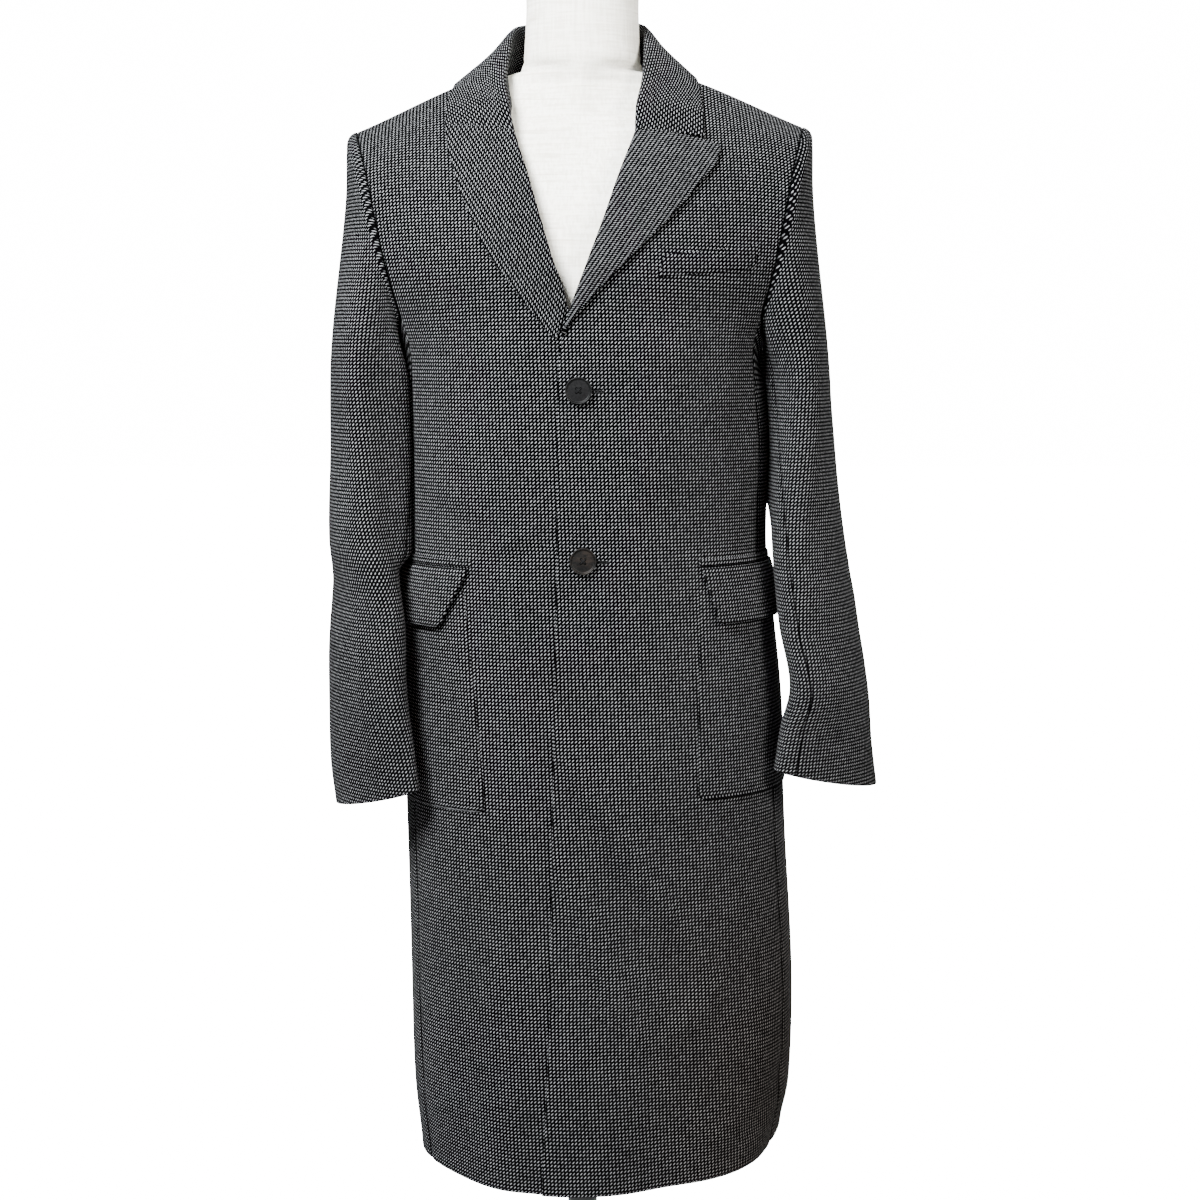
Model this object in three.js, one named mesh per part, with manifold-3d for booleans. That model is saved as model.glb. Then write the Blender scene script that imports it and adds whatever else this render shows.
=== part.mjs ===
// Chesterfield coat, buttoned and worn by a limbless dress form on a pole and a round base.
// Millimetres. +Z is up, the coat's front faces -Y, and +X is the wearer's left.
// The origin is the centre of the base's underside.

import * as THREE from 'three';
import Module from 'manifold-3d';
import { mergeVertices } from 'three/addons/utils/BufferGeometryUtils.js';

const wasm = await Module();
wasm.setup();

// Cloth
const wall = 2.4; // coat cloth with its interlining
const seamGap = 0.3; // between pieces that are sewn together
const layGap = 0.5; // between the collar and the panel that it lies on
const pocketLift = 0.7; // from the panel to the underside of a pocket or the breast welt
const flapWeltLift = 1; // the same for the welt above a flap
const buttonLift = 0.6; // the same for a button
const slopeShare = 1.08; // height of the wall where it lies at the shoulder's slope
const frontLap = 3.6; // how far the wearer's right front lies behind the left one
const lapBlend = 45; // width over which that front comes out again

// Form and stand
const baseRadius = 200;
const baseThickness = 10;
const hubRadius = 34;
const hubHeight = 34;
const poleRadius = 15;
const formBottom = 640;
const poleGap = 0.3; // at either end of the pole

// Buttons
const buttonRadius = 12.5;
const buttonThickness = 4.2;
const buttonRim = 1.1;
const buttonHoleRadius = 1.1;
const buttonHoleSpacing = 3.4;

const table = (columns, ...rows) =>
  rows.map((row) => Object.fromEntries(columns.map((column, i) => [column, row[i]])));

const clamp = (value, low, high) => Math.min(high, Math.max(low, value));
const lerp = (a, b, t) => a + (b - a) * t;
const ease = (t) => {
  const s = clamp(t, 0, 1);
  return s * s * (3 - 2 * s);
};
const radians = (degrees) => (degrees * Math.PI) / 180;
const vec = (x, y, z) => new THREE.Vector3(x, y, z);

// Smooth values between the rows of a table: one cubic for each column.
function hermite(p0, p1, m0, m1, t, span) {
  const t2 = t * t;
  const t3 = t2 * t;
  return (2 * t3 - 3 * t2 + 1) * p0 + (t3 - 2 * t2 + t) * span * m0
    + (3 * t2 - 2 * t3) * p1 + (t3 - t2) * span * m1;
}

function sampler(rows, key) {
  const columns = Object.keys(rows[0]).filter((column) => column !== key);
  const slope = (column, i) => {
    const low = Math.max(i - 1, 0);
    const high = Math.min(i + 1, rows.length - 1);
    return (rows[high][column] - rows[low][column]) / (rows[high][key] - rows[low][key]);
  };
  return (at) => {
    let i = 0;
    while (i < rows.length - 2 && at > rows[i + 1][key]) i += 1;
    const span = rows[i + 1][key] - rows[i][key];
    const t = clamp((at - rows[i][key]) / span, 0, 1);
    return Object.fromEntries(columns.map((column) => [
      column,
      hermite(rows[i][column], rows[i + 1][column], slope(column, i), slope(column, i + 1), t, span),
    ]));
  };
}

function bezier(a, b, c, d, t) {
  const s = 1 - t;
  return a.clone().multiplyScalar(s * s * s)
    .addScaledVector(b, 3 * s * s * t)
    .addScaledVector(c, 3 * s * t * t)
    .addScaledVector(d, t * t * t);
}

// A surface through rows. Each row has a knot and a curve over w from 0 to 1. The first and
// last rows only steer the slope, so the surface runs from the second to the last but one.
function loft(rows) {
  const slope = (i, w) => rows[i + 1].curve(w).sub(rows[i - 1].curve(w))
    .divideScalar(rows[i + 1].knot - rows[i - 1].knot);
  return (w, knot) => {
    let i = 1;
    while (i < rows.length - 3 && knot > rows[i + 1].knot) i += 1;
    const span = rows[i + 1].knot - rows[i].knot;
    const t = (knot - rows[i].knot) / span;
    const [p0, p1, m0, m1] = [rows[i].curve(w), rows[i + 1].curve(w), slope(i, w), slope(i + 1, w)];
    return vec(...['x', 'y', 'z'].map((k) => hermite(p0[k], p1[k], m0[k], m1[k], t, span)));
  };
}

// Coat body below the armholes: one row for each height.
const bodySections = sampler(table(
  ['z', 'right', 'left', 'front', 'back', 'middle'],
  [372, 201, -161, -148, 140, 4],
  [450, 210, -168, -147, 137, 5],
  [560, 213, -172, -144, 134, 5],
  [700, 206, -177, -139, 128, 4],
  [840, 198, -179, -137, 122, 3],
  [915, 191, -178, -136, 115, 2],
  [985, 184, -176, -135, 108, 1],
  [1030, 182.4, -175.7, -134.6, 107.6, 0.7],
  [1090, 185, -175, -134, 104, 0],
  [1180, 179, -178, -133, 112, 0],
  [1240, 184, -184, -131, 118, 0],
), 'z');
const sideDepth = 8; // Y of the widest point
const fullness = 0.62; // how square the section is
const frontSeam = 0.75; // front to side panel, as a share of the front quarter
const backSeam = 0.72; // back to side panel, as a share of the back quarter

// Soft folds of the skirt: where they are at the hem, how deep and wide they are, and how high they reach.
const skirtFolds = table(
  ['at', 'depth', 'width', 'top'],
  [0.24, 9, 0.13, 800],
  [0.55, -6, 0.16, 760],
  [0.92, -2, 0.16, 620],
  [-0.5, 4, 0.16, 700],
  [-0.85, -4, 0.16, 760],
  [1.3, -7, 0.2, 820],
  [1.7, 8, 0.14, 820],
  [-1.35, -6, 0.2, 820],
  [-1.72, 8, 0.14, 780],
);
const hemHeight = 372;
const hemRise = sampler(table(
  ['at', 'rise'],
  [-2, 12],
  [-1, 8],
  [-0.4, 0],
  [0.15, 0],
  [0.6, 14],
  [1, 30],
  [1.5, 16],
  [2, 12],
), 'at');

// Point of the coat's girth. around is 0 at the front, 1 and -1 at the sides, 2 and -2 at the back.
function girth(z, around) {
  const section = bodySections(z);
  const side = around < 0 ? -1 : 1;
  const share = Math.abs(around);
  const edge = side > 0 ? section.right : section.left;
  const reach = edge - section.middle;
  const isFront = share <= 1;
  const t = isFront ? share : 2 - share;
  const end = isFront ? section.front : section.back;
  const p = bezier(
    vec(section.middle, end, z),
    vec(section.middle + reach * fullness, end, z),
    vec(edge, lerp(sideDepth, end, fullness), z),
    vec(edge, sideDepth, z),
    t,
  );
  let push = 0;
  for (const fold of skirtFolds) {
    const near = Math.exp(-(((around - fold.at) / fold.width) ** 2));
    push += fold.depth * near * ease((fold.top - z) / (fold.top - hemHeight));
  }
  const centre = vec(section.middle, sideDepth, z);
  const inward = centre.sub(p).normalize();
  return p.addScaledVector(inward, push);
}

// X of the body's side at a given depth.
function sideX(z, y, side) {
  let low = 0.3;
  let high = 1.7;
  for (let i = 0; i < 24; i += 1) {
    const mid = (low + high) / 2;
    if (girth(z, side * mid).y < y) low = mid;
    else high = mid;
  }
  return girth(z, side * low).x;
}

// The share of the front at which the girth has a given X.
function aroundAtX(z, x) {
  let low = -1;
  let high = 1;
  for (let i = 0; i < 30; i += 1) {
    const mid = (low + high) / 2;
    if (girth(z, mid).x < x) low = mid;
    else high = mid;
  }
  return (low + high) / 2;
}

// Armhole of the wearer's left, from the shoulder tip down the front, under the arm and up the back.
const armhole = table(
  ['name', 'x', 'y', 'z'],
  ['tip', 215.5, 3, 1400],
  ['front1', 213.5, -18, 1393],
  ['front2', 209, -39, 1379],
  ['front3', 201, -62, 1349],
  ['front4', 193, -73, 1308],
  ['front5', 184, -73, 1262],
  ['front6', 172.5, -59, 1216],
  ['under1', 176.5, -28, 1190],
  ['under2', 178.5, 8, 1181],
  ['under3', 177.5, 40, 1190],
  ['back6', 172.5, 68, 1216],
  ['back5', 183, 82, 1262],
  ['back4', 193, 82, 1308],
  ['back3', 201, 68, 1350],
  ['back2', 209, 44, 1381],
  ['back1', 213.5, 23, 1394],
);
const rightShoulderDrop = 5; // the wearer's right shoulder is lower and further out
const rightShoulderReach = 3.5;
const underarmHeight = 1181;
const shoulderHeight = 1400;

function armholePoint(name, side) {
  const row = armhole.find((each) => each.name === name);
  if (side > 0) return vec(row.x, row.y, row.z);
  const up = (row.z - underarmHeight) / (shoulderHeight - underarmHeight);
  return vec(-row.x - rightShoulderReach * up, row.y, row.z - rightShoulderDrop * up);
}

// Front edges. Below the break the left front ends at its closing edge, and the right one under it.
const closingEdge = sampler(table(
  ['z', 'left', 'right'],
  [300, -39, 22],
  [383, -38, 22],
  [546, -30, 24],
  [743, -28, 25],
  [900, -24, 26],
  [1016, -22, 27],
  [1120, -22, 25],
  [1188, -19, 4],
), 'z');

// Rows of the fronts above the underarm: the inner end lies on the roll line, then on the neck seam.
// turn is the way in which the cloth runs at the armhole, and rise its slope there.
const rollRows = table(
  ['knot', 'leftX', 'rightX', 'inY', 'leftZ', 'rightZ', 'outer', 'turn', 'rise', 'outerPull', 'innerPull'],
  [1220, -11, -7, -128, 1220, 1220, 'front6', 62, 0, 42, 62],
  [1266, 6, -24, -120, 1266, 1264, 'front5', 38, 0.02, 42, 60],
  [1312, 23, -38, -106, 1312, 1310, 'front4', 20, 0.12, 42, 56],
  [1356, 38, -50, -89, 1356, 1352, 'front3', 10, 0.26, 44, 54],
  [1398, 51.5, -63, -70, 1391, 1391, 'front2', 4, 0.36, 46, 50],
  [1436, 61, -70, -45, 1424, 1424, 'front1', 1, 0.4, 46, 46],
  [1486, 75, -76, -1, 1454, 1453, 'tip', 0, 0.4, 46, 46],
);

const backRows = table(
  ['knot', 'inX', 'inY', 'inZ', 'outer', 'turn', 'rise', 'outerPull', 'innerPull'],
  [1220, 0, 116, 1220, 'back6', 62, 0, 42, 70],
  [1266, 0, 120, 1266, 'back5', 38, 0.02, 44, 66],
  [1312, 0, 120, 1312, 'back4', 20, 0.12, 44, 62],
  [1356, 0, 116, 1356, 'back3', 10, 0.26, 46, 60],
  [1398, 0, 104, 1400, 'back2', 4, 0.36, 48, 56],
  [1436, 0, 86, 1438, 'back1', 1, 0.4, 48, 46],
);
const neckBack = vec(0, 70, 1461);
const neckShare = 0.4; // share of the back's top row that is neckline

function armRow(start, row, side, depthSign) {
  const end = armholePoint(row.outer, side);
  const turn = radians(row.turn);
  const inward = vec(-Math.cos(turn) * side, Math.sin(turn) * depthSign, row.rise).normalize();
  const startHandle = start.clone().add(vec(row.innerPull * side, 0, row.rise * -0.5 * row.innerPull));
  const endHandle = end.clone().addScaledVector(inward, row.outerPull);
  return (w) => bezier(start, startHandle, endHandle, end, w);
}

const lowerKnots = [372, 450, 560, 700, 840, 985, 1090, 1150, 1184];
const knotBelow = 300; // the rows that only steer the slopes at the hem and at the shoulder seam
const knotAbove = 1536;
const breakKnot = 1188; // where the fronts' edges become roll lines
const breakBlend = 32;
const cornerKnot = 1220; // where the fronts and backs leave the side panels for the armhole
const sideTop = 1190; // the side panels' last knot, at the same place
const sideBlend = 1150; // the knot above which a side panel catches up with them

function lowerRow(knot, fromAround, toAround) {
  return {
    knot,
    curve: (w) => {
      const around = lerp(fromAround, toAround, w);
      const p = girth(knot, around);
      if (knot <= hemHeight) p.z += hemRise(around).rise;
      return p;
    },
  };
}

const frontStart = (row, side) => (side > 0
  ? vec(row.leftX, row.inY, row.leftZ)
  : vec(row.rightX, row.inY, row.rightZ));
const frontArmRow = (row, side) => ({
  knot: row.knot,
  curve: armRow(frontStart(row, side), row, side, -1),
});
const backArmRow = (row, side) => ({
  knot: row.knot,
  curve: armRow(vec(row.inX, row.inY, row.inZ), row, side, 1),
});

// The back's top row: the neckline to the neck point, then the shoulder seam.
function backTopRow(side) {
  const top = rollRows[rollRows.length - 1];
  const neckPoint = frontStart(top, side);
  const seam = armRow(neckPoint, top, side, 1);
  return {
    knot: top.knot,
    curve: (w) => {
      if (w >= neckShare) return seam((w - neckShare) / (1 - neckShare));
      const t = w / neckShare;
      return bezier(neckBack, vec(side * 36, 70, 1461), vec(side * 70, 38, 1457), neckPoint, t);
    },
  };
}

function frontSurface(side) {
  const edge = side > 0 ? 'left' : 'right';
  const lower = lowerKnots.map((knot) =>
    lowerRow(knot, aroundAtX(knot, closingEdge(knot)[edge]), side * frontSeam));
  const upper = rollRows.map((row) => frontArmRow(row, side));
  const backTop = backArmRow(backRows[backRows.length - 1], side);
  const before = { knot: knotBelow, curve: (w) => lower[0].curve(w).add(vec(0, 0, knotBelow - hemHeight)) };
  const after = { knot: knotAbove, curve: (w) => backTop.curve(lerp(neckShare, 1, w)) };
  const surface = loft([before, ...lower, ...upper, after]);
  if (side > 0) return surface;
  return (w, knot) => {
    const p = surface(w, knot);
    const lapEdge = knot < breakKnot ? closingEdge(p.z).left : leftRollX(p.z);
    p.y += frontLap * ease((p.x - lapEdge + lapBlend) / (lapBlend - 6));
    return p;
  };
}

const rollOfLeft = sampler(rollRows.map((row) => ({ z: row.leftZ, x: row.leftX })), 'z');
const leftRollX = (z) =>
  lerp(closingEdge(breakKnot).left, rollOfLeft(z).x, ease((z - breakKnot) / breakBlend));

function backSurface(side) {
  const lower = lowerKnots.map((knot) => lowerRow(knot, side * 2, side * (2 - backSeam)));
  const upper = backRows.map((row) => backArmRow(row, side));
  const frontTop = frontArmRow(rollRows[rollRows.length - 2], side);
  const before = { knot: knotBelow, curve: (w) => lower[0].curve(w).add(vec(0, 0, knotBelow - hemHeight)) };
  const after = {
    knot: knotAbove,
    curve: (w) => (w >= neckShare
      ? frontTop.curve((w - neckShare) / (1 - neckShare))
      : backTopRow(side).curve(w).add(vec(0, -8, 14))),
  };
  return loft([before, ...lower, ...upper, backTopRow(side), after]);
}

// Side panel: from the front seam (w 0) to the back seam (w 1), up to the bottom of the armhole.
// Its two edges follow those of the front and the back.
function sideSurface(side, front, back) {
  const rows = lowerKnots.slice(0, -1).map((knot) =>
    lowerRow(knot, side * frontSeam, side * (2 - backSeam)));
  const rim = new THREE.CatmullRomCurve3(
    ['front6', 'under1', 'under2', 'under3', 'back6'].map((name) => armholePoint(name, side)),
  );
  const rimAt = (w) => {
    const inside = clamp(w, 0, 1);
    return rim.getPoint(inside).addScaledVector(rim.getTangent(inside), (w - inside) * rim.getLength());
  };
  const before = { knot: knotBelow, curve: (w) => rows[0].curve(w).add(vec(0, 0, knotBelow - hemHeight)) };
  const top = { knot: sideTop, curve: rimAt };
  const after = { knot: sideTop + 50, curve: (w) => rimAt(w).add(vec(3 * side, 0, 50)) };
  const panel = loft([before, ...rows, top, after]);
  const catchUp = (cornerKnot - sideTop) / (sideTop - sideBlend);
  const seamAt = (knot) => knot + Math.max(0, knot - sideBlend) * catchUp;
  return (w, knot) => {
    const toFront = front(1, seamAt(knot)).sub(panel(0, knot));
    const toBack = back(1, seamAt(knot)).sub(panel(1, knot));
    return panel(w, knot).add(toFront.lerp(toBack, w));
  };
}

// Closed solid between two faces of a grid. face(i, j) gives a pair of points: outer and inner.
function shell(columns, rows, face) {
  const positions = [];
  const index = [];
  const at = (i, j, layer) => (j * columns + i) * 2 + layer;
  for (let j = 0; j < rows; j += 1) {
    for (let i = 0; i < columns; i += 1) {
      for (const p of face(i, j)) positions.push(p.x, p.y, p.z);
    }
  }
  const quad = (a, b, c, d) => index.push(a, b, c, a, c, d);
  for (let j = 0; j < rows - 1; j += 1) {
    for (let i = 0; i < columns - 1; i += 1) {
      quad(at(i, j, 0), at(i + 1, j, 0), at(i + 1, j + 1, 0), at(i, j + 1, 0));
      quad(at(i, j, 1), at(i, j + 1, 1), at(i + 1, j + 1, 1), at(i + 1, j, 1));
    }
  }
  for (let i = 0; i < columns - 1; i += 1) {
    quad(at(i, 0, 1), at(i + 1, 0, 1), at(i + 1, 0, 0), at(i, 0, 0));
    quad(at(i, rows - 1, 0), at(i + 1, rows - 1, 0), at(i + 1, rows - 1, 1), at(i, rows - 1, 1));
  }
  for (let j = 0; j < rows - 1; j += 1) {
    quad(at(0, j, 0), at(0, j + 1, 0), at(0, j + 1, 1), at(0, j, 1));
    const end = columns - 1;
    quad(at(end, j, 1), at(end, j + 1, 1), at(end, j + 1, 0), at(end, j, 0));
  }
  const geometry = new THREE.BufferGeometry();
  geometry.setAttribute('position', new THREE.Float32BufferAttribute(positions, 3));
  geometry.setIndex(index);
  if (signedVolume(positions, index) < 0) flipFaces(geometry);
  geometry.computeVertexNormals();
  return geometry;
}

function signedVolume(positions, index) {
  const corner = (k) => vec(...positions.slice(3 * index[k], 3 * index[k] + 3));
  let volume = 0;
  for (let k = 0; k < index.length; k += 3) {
    volume += corner(k).dot(corner(k + 1).cross(corner(k + 2)));
  }
  return volume;
}

function flipFaces(geometry) {
  const index = geometry.index.array;
  for (let k = 0; k < index.length; k += 3) {
    [index[k + 1], index[k + 2]] = [index[k + 2], index[k + 1]];
  }
}

const steps = (from, to, count) => Array.from({ length: count + 1 }, (_, i) => lerp(from, to, i / count));

// Normal of a surface over (w, knot), pointing away from the coat's inside.
function normalOf(surface, w, knot, sign) {
  const dw = 0.004;
  const dk = 1.5;
  const across = surface(w + dw, knot).sub(surface(w - dw, knot));
  const along = surface(w, knot + dk).sub(surface(w, knot - dk));
  return across.cross(along).normalize().multiplyScalar(sign);
}

// Wall of cloth: its outer face lies lift above the surface, and it is thick deep.
function cloth(surface, sign, ws, knots, options = {}) {
  const { lift = () => 0, thick = wall, place = (w, k) => [w, k] } = options;
  return shell(ws.length, knots.length, (i, j) => {
    const [w, knot] = place(ws[i], knots[j], i, j);
    const normal = normalOf(surface, w, knot, sign);
    const p = surface(w, knot);
    const outer = p.clone().addScaledVector(normal, lift(ws[i], knots[j]) + (options.over ? thick : 0));
    const inner = outer.clone().addScaledVector(normal, -thick);
    return [outer, inner];
  });
}

// Sleeves. Around a sleeve, 0 is outside, 90 the front, 180 inside and 270 the back, in degrees.
// Below the upper arm, each row is an oval ring: deep along its turned axis, and wide across it.
const sleeveRings = {
  left: sampler(table(
    ['z', 'x', 'y', 'deep', 'wide', 'turn', 'seam'],
    [764, 241.7, -42, 68, 29.9, 48, 62],
    [808, 242, -38, 66, 30.7, 40, 64],
    [851, 245, -34, 66, 30, 31, 70],
    [912, 235, -28, 69, 32.7, 28, 80],
    [1005, 223.8, -18, 73, 33.3, 18, 100],
    [1095, 218.5, -8, 77, 31, 7, 135],
    [1150, 215, -1, 80, 30, 2, 150],
    [1200, 214, 3, 82, 30, 0, 155],
  ), 'z'),
  right: sampler(table(
    ['z', 'x', 'y', 'deep', 'wide', 'turn', 'seam'],
    [749, -200.5, -64, 66, 22.7, 39, 120],
    [793, -205.7, -60, 66, 24.6, 38, 122],
    [851, -209.9, -52, 67, 27.1, 32, 128],
    [912, -211, -42, 70, 29, 28, 132],
    [955, -212.3, -34, 72, 27.5, 22, 136],
    [1005, -214.5, -24, 74, 34.5, 11, 140],
    [1095, -212.9, -9, 78, 35, 4, 148],
    [1150, -213, -2, 81, 34.5, 2, 152],
    [1200, -215, 1, 82, 30, 0, 155],
  ), 'z'),
};
const elbowSeam = 236; // degrees round the sleeve, at the back
const cuffHeight = { left: 764, right: 749 };
const cuffSlope = { left: 0.25, right: 0.33 }; // how the cuff's edge rises towards the body
const upperArm = 1150;
// Above this height, blended in over hugBlend, the inner side of a sleeve hangs against the body.
const hugFrom = { left: 995, right: 976 };
const hugBlend = { left: 45, right: 30 };
const hugGap = 2;
const hugDepth = [-48, -12]; // Y over which that begins, behind the sleeve's front edge

// Closed curve of the armhole, as a function of the angle round the sleeve.
function armholeCurve(side) {
  const order = armhole.map((row) => row.name);
  const points = order.map((name) => armholePoint(name, side));
  const curve = new THREE.CatmullRomCurve3(points, true, 'centripetal');
  return (degrees) => curve.getPointAt((((degrees / 360) % 1) + 1) % 1);
}

function ringPoint(ring, side, degrees, z) {
  const turn = radians(ring.turn);
  const angle = radians(degrees);
  const forward = ring.deep * Math.sin(angle);
  const outward = ring.wide * Math.cos(angle);
  return vec(
    ring.x + side * (outward * Math.cos(turn) - forward * Math.sin(turn)),
    ring.y - forward * Math.cos(turn) - outward * Math.sin(turn),
    z,
  );
}

// Point of a sleeve's ring, with its inner side drawn against the body.
function sleeveRing(name, side, degrees, z) {
  const p = ringPoint(sleeveRings[name](z), side, degrees, z);
  const isInner = ease((-Math.cos(radians(degrees)) - 0.05) / 0.6);
  const isBehind = ease((p.y - hugDepth[0]) / (hugDepth[1] - hugDepth[0]));
  const share = isInner * isBehind * ease((z - hugFrom[name]) / hugBlend[name]);
  if (share > 0) {
    const beside = sideX(z, p.y, side) + side * hugGap;
    p.x = lerp(p.x, side * Math.min(side * p.x, side * beside), share);
  }
  return p;
}

// Sleeve surface over (degrees, knot). The knot is 1 at the armhole, 0 at the upper arm and -1 at the cuff.
const headReach = 10; // how far the sleeve head stands out from the armhole
const headDrop = 12; // the height over which it rounds
const underarmEase = 1.3; // extra room where the sleeve turns down under the arm
const rollAt = 0.9; // the knot at which that rounding ends
const ringStep = 30; // height over which the slope below the upper arm is taken
function sleeveSurface(name, side) {
  const rings = sleeveRings[name];
  const hole = armholeCurve(side);
  return (degrees, knot) => {
    if (knot <= 0) {
      const hem = cuffHeight[name];
      const base = sleeveRing(name, side, degrees, lerp(upperArm, hem, -knot));
      base.z += cuffSlope[name] * (base.x - rings(hem).x) * -side * -knot;
      return base;
    }
    const start = hole(degrees);
    const top = 0.5 + 0.5 * Math.cos(radians(degrees));
    start.x += side * (seamGap + underarmEase * (1 - top) ** 2);
    const end = sleeveRing(name, side, degrees, upperArm);
    const shoulder = start.clone().add(vec(side * lerp(1.5, headReach, top), 0, lerp(-1, -headDrop, top)));
    if (knot >= rollAt) {
      const t = (1 - knot) / (1 - rollAt);
      const bulge = start.clone().add(vec(side * lerp(1.2, headReach * 0.6, top), 0, lerp(0, -0.5, top)));
      const above = shoulder.clone().add(vec(0, 0, lerp(0.5, headDrop * 0.5, top)));
      return bezier(start, bulge, above, shoulder, t);
    }
    const t = 1 - knot / rollAt;
    const drop = shoulder.z - end.z;
    const below = sleeveRing(name, side, degrees, upperArm - ringStep);
    const down = end.clone().sub(below).multiplyScalar(drop / (3 * ringStep));
    return bezier(shoulder, shoulder.clone().add(vec(0, 0, -drop / 3)), end.clone().add(down), end, t);
  };
}

const sleeveKnots = [1, 0.96, 0.93, 0.9, 0.76, 0.58, 0.38, 0.18, 0, -0.17, -0.34, -0.51, -0.68, -0.84, -1];

// Half a sleeve, between two seams given by angles at each knot.
function sleevePiece(surface, sign, from, to, count) {
  const gapDegrees = 0.35;
  return shell(count + 1, sleeveKnots.length, (i, j) => {
    const knot = sleeveKnots[j];
    const degrees = lerp(from(knot) + gapDegrees, to(knot) - gapDegrees, i / count);
    const inside = knot >= 1 ? 0.999 : Math.max(knot, -0.998);
    const across = surface(degrees + 1, inside).sub(surface(degrees - 1, inside));
    const along = surface(degrees, inside + 0.001).sub(surface(degrees, inside - 0.001));
    const normal = across.cross(along).normalize().multiplyScalar(-sign);
    const outer = surface(degrees, knot);
    return [outer, outer.clone().addScaledVector(normal, -wall)];
  });
}

// The place (w, knot) where a surface has a given X and Z.
function locate(surface, x, z, startW = 0.5) {
  let w = startW;
  let knot = z;
  for (let i = 0; i < 25; i += 1) {
    const p = surface(w, knot);
    const byW = surface(w + 0.001, knot).sub(p).divideScalar(0.001);
    const byKnot = surface(w, knot + 0.5).sub(p).divideScalar(0.5);
    const determinant = byW.x * byKnot.z - byKnot.x * byW.z;
    const dx = x - p.x;
    const dz = z - p.z;
    w = clamp(w + (dx * byKnot.z - byKnot.x * dz) / determinant, -0.05, 1.05);
    knot += clamp((byW.x * dz - dx * byW.z) / determinant, -40, 40);
  }
  return [w, knot];
}

// Strip of cloth that lies on a panel. Each row runs from a start to an edge, given by X and Z.
function laidStrip(panel, sign, rows, columns, lift, thick) {
  const faces = rows.map((row) => {
    const start = locate(panel, row.startX, row.startZ, 0.1);
    const end = locate(panel, row.edgeX, row.edgeZ, 0.5);
    return (t) => {
      const w = Math.max(0.001, lerp(start[0], end[0], t));
      return [w, lerp(start[1], end[1], t) + 4 * t * (1 - t) * row.bend];
    };
  });
  return shell(columns + 1, rows.length, (i, j) => {
    const [w, knot] = faces[j](i / columns);
    const normal = normalOf(panel, w, knot, sign);
    const inner = panel(w, knot).addScaledVector(normal, lift(i / columns, j));
    return [inner.clone().addScaledVector(normal, thick), inner];
  });
}

// Lapels, from the break up to the seam with the collar.
const lapelThickness = 3;
const lapelLift = { left: () => 0.8, right: () => 1.3 };
const lapelRows = {
  left: table(
    ['startX', 'startZ', 'edgeX', 'edgeZ', 'bend'],
    [-16, 1197, -11, 1206, 0],
    [-12, 1214, 8, 1230, 0],
    [-5, 1236, 31, 1254, 0],
    [5, 1263, 59, 1282, 0],
    [16, 1294, 85, 1308, 0],
    [28, 1328, 109, 1336, 0],
    [40, 1360, 126, 1356, 1],
    [51, 1389.5, 132, 1372, 9],
  ),
  right: table(
    ['startX', 'startZ', 'edgeX', 'edgeZ', 'bend'],
    [-21.5, 1194, -26.5, 1196, 0],
    [-17, 1207, -38, 1209, 0],
    [-13, 1222, -50, 1224, 0],
    [-17, 1244, -68, 1248, 0],
    [-27, 1271, -87, 1274, 0],
    [-36, 1301, -101, 1303, 0],
    [-46, 1335, -114, 1335, 0],
    [-55, 1364, -124, 1366, 0],
    [-63, 1389.5, -129, 1395, 2],
  ),
};

// Welt of the breast pocket, on the wearer's left.
const weltHeight = 21;
const breastWelt = table(
  ['startX', 'startZ', 'edgeX', 'edgeZ', 'bend'],
  [72, 1251, 164, 1261, 0],
  [72, 1251 + weltHeight / 2, 164, 1261 + weltHeight / 2, 0],
  [72, 1251 + weltHeight, 164, 1261 + weltHeight, 0],
);

// Patch pockets and their flaps wrap round the body from a front edge, which leans as shown.
const pocketWidth = 172;
const pocketThickness = 2.4;
const flapThickness = 3;
const flapWeltHeight = 7;
const pocketRows = {
  left: table(['z', 'x'], [756, 112], [790, 112], [830, 112], [870, 112.5], [910, 113], [955, 113]),
  right: table(['z', 'x'], [744, -91], [785, -94.5], [830, -98.5], [870, -102.5], [910, -107], [955, -111]),
};
const flapRows = {
  left: table(
    ['z', 'x', 'lift'],
    [978.5, 113, 0.6],
    [966, 116.5, 2.4],
    [950, 121, 3.8],
    [935, 125, 4.6],
    [924, 128, 5],
  ),
  right: table(
    ['z', 'x', 'lift'],
    [978, -105, 0.6],
    [966, -110.5, 2.4],
    [950, -117.5, 4.2],
    [934, -125, 4.6],
    [920, -131, 4.8],
  ),
};
const flapWeltRows = {
  left: table(['z', 'x'], [979.3, 112], [979.3 + flapWeltHeight, 112]),
  right: table(['z', 'x'], [978.8, -104], [978.8 + flapWeltHeight, -104]),
};

// Patch round the body: rows give its front edge, and it is width wide along the cloth.
function bodyPatch(rows, sign, width, columns, lift, thick) {
  const lines = rows.map((row) => {
    const line = [];
    let around = aroundAtX(row.z, row.x);
    let travelled = 0;
    let last = girth(row.z, around);
    const pace = 0.002 * sign;
    for (let i = 0; i <= columns; i += 1) {
      while (travelled < (width * i) / columns) {
        around += pace;
        const next = girth(row.z, around);
        travelled += next.distanceTo(last);
        last = next;
      }
      line.push(around);
    }
    return line;
  });
  const surface = (w, knot) => girth(knot, w);
  return shell(columns + 1, rows.length, (i, j) => {
    const { z } = rows[j];
    const normal = normalOf(surface, lines[j][i], z, 1);
    const inner = girth(z, lines[j][i]).addScaledVector(normal, lift(rows[j]));
    return [inner.clone().addScaledVector(normal, thick), inner];
  });
}

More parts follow.
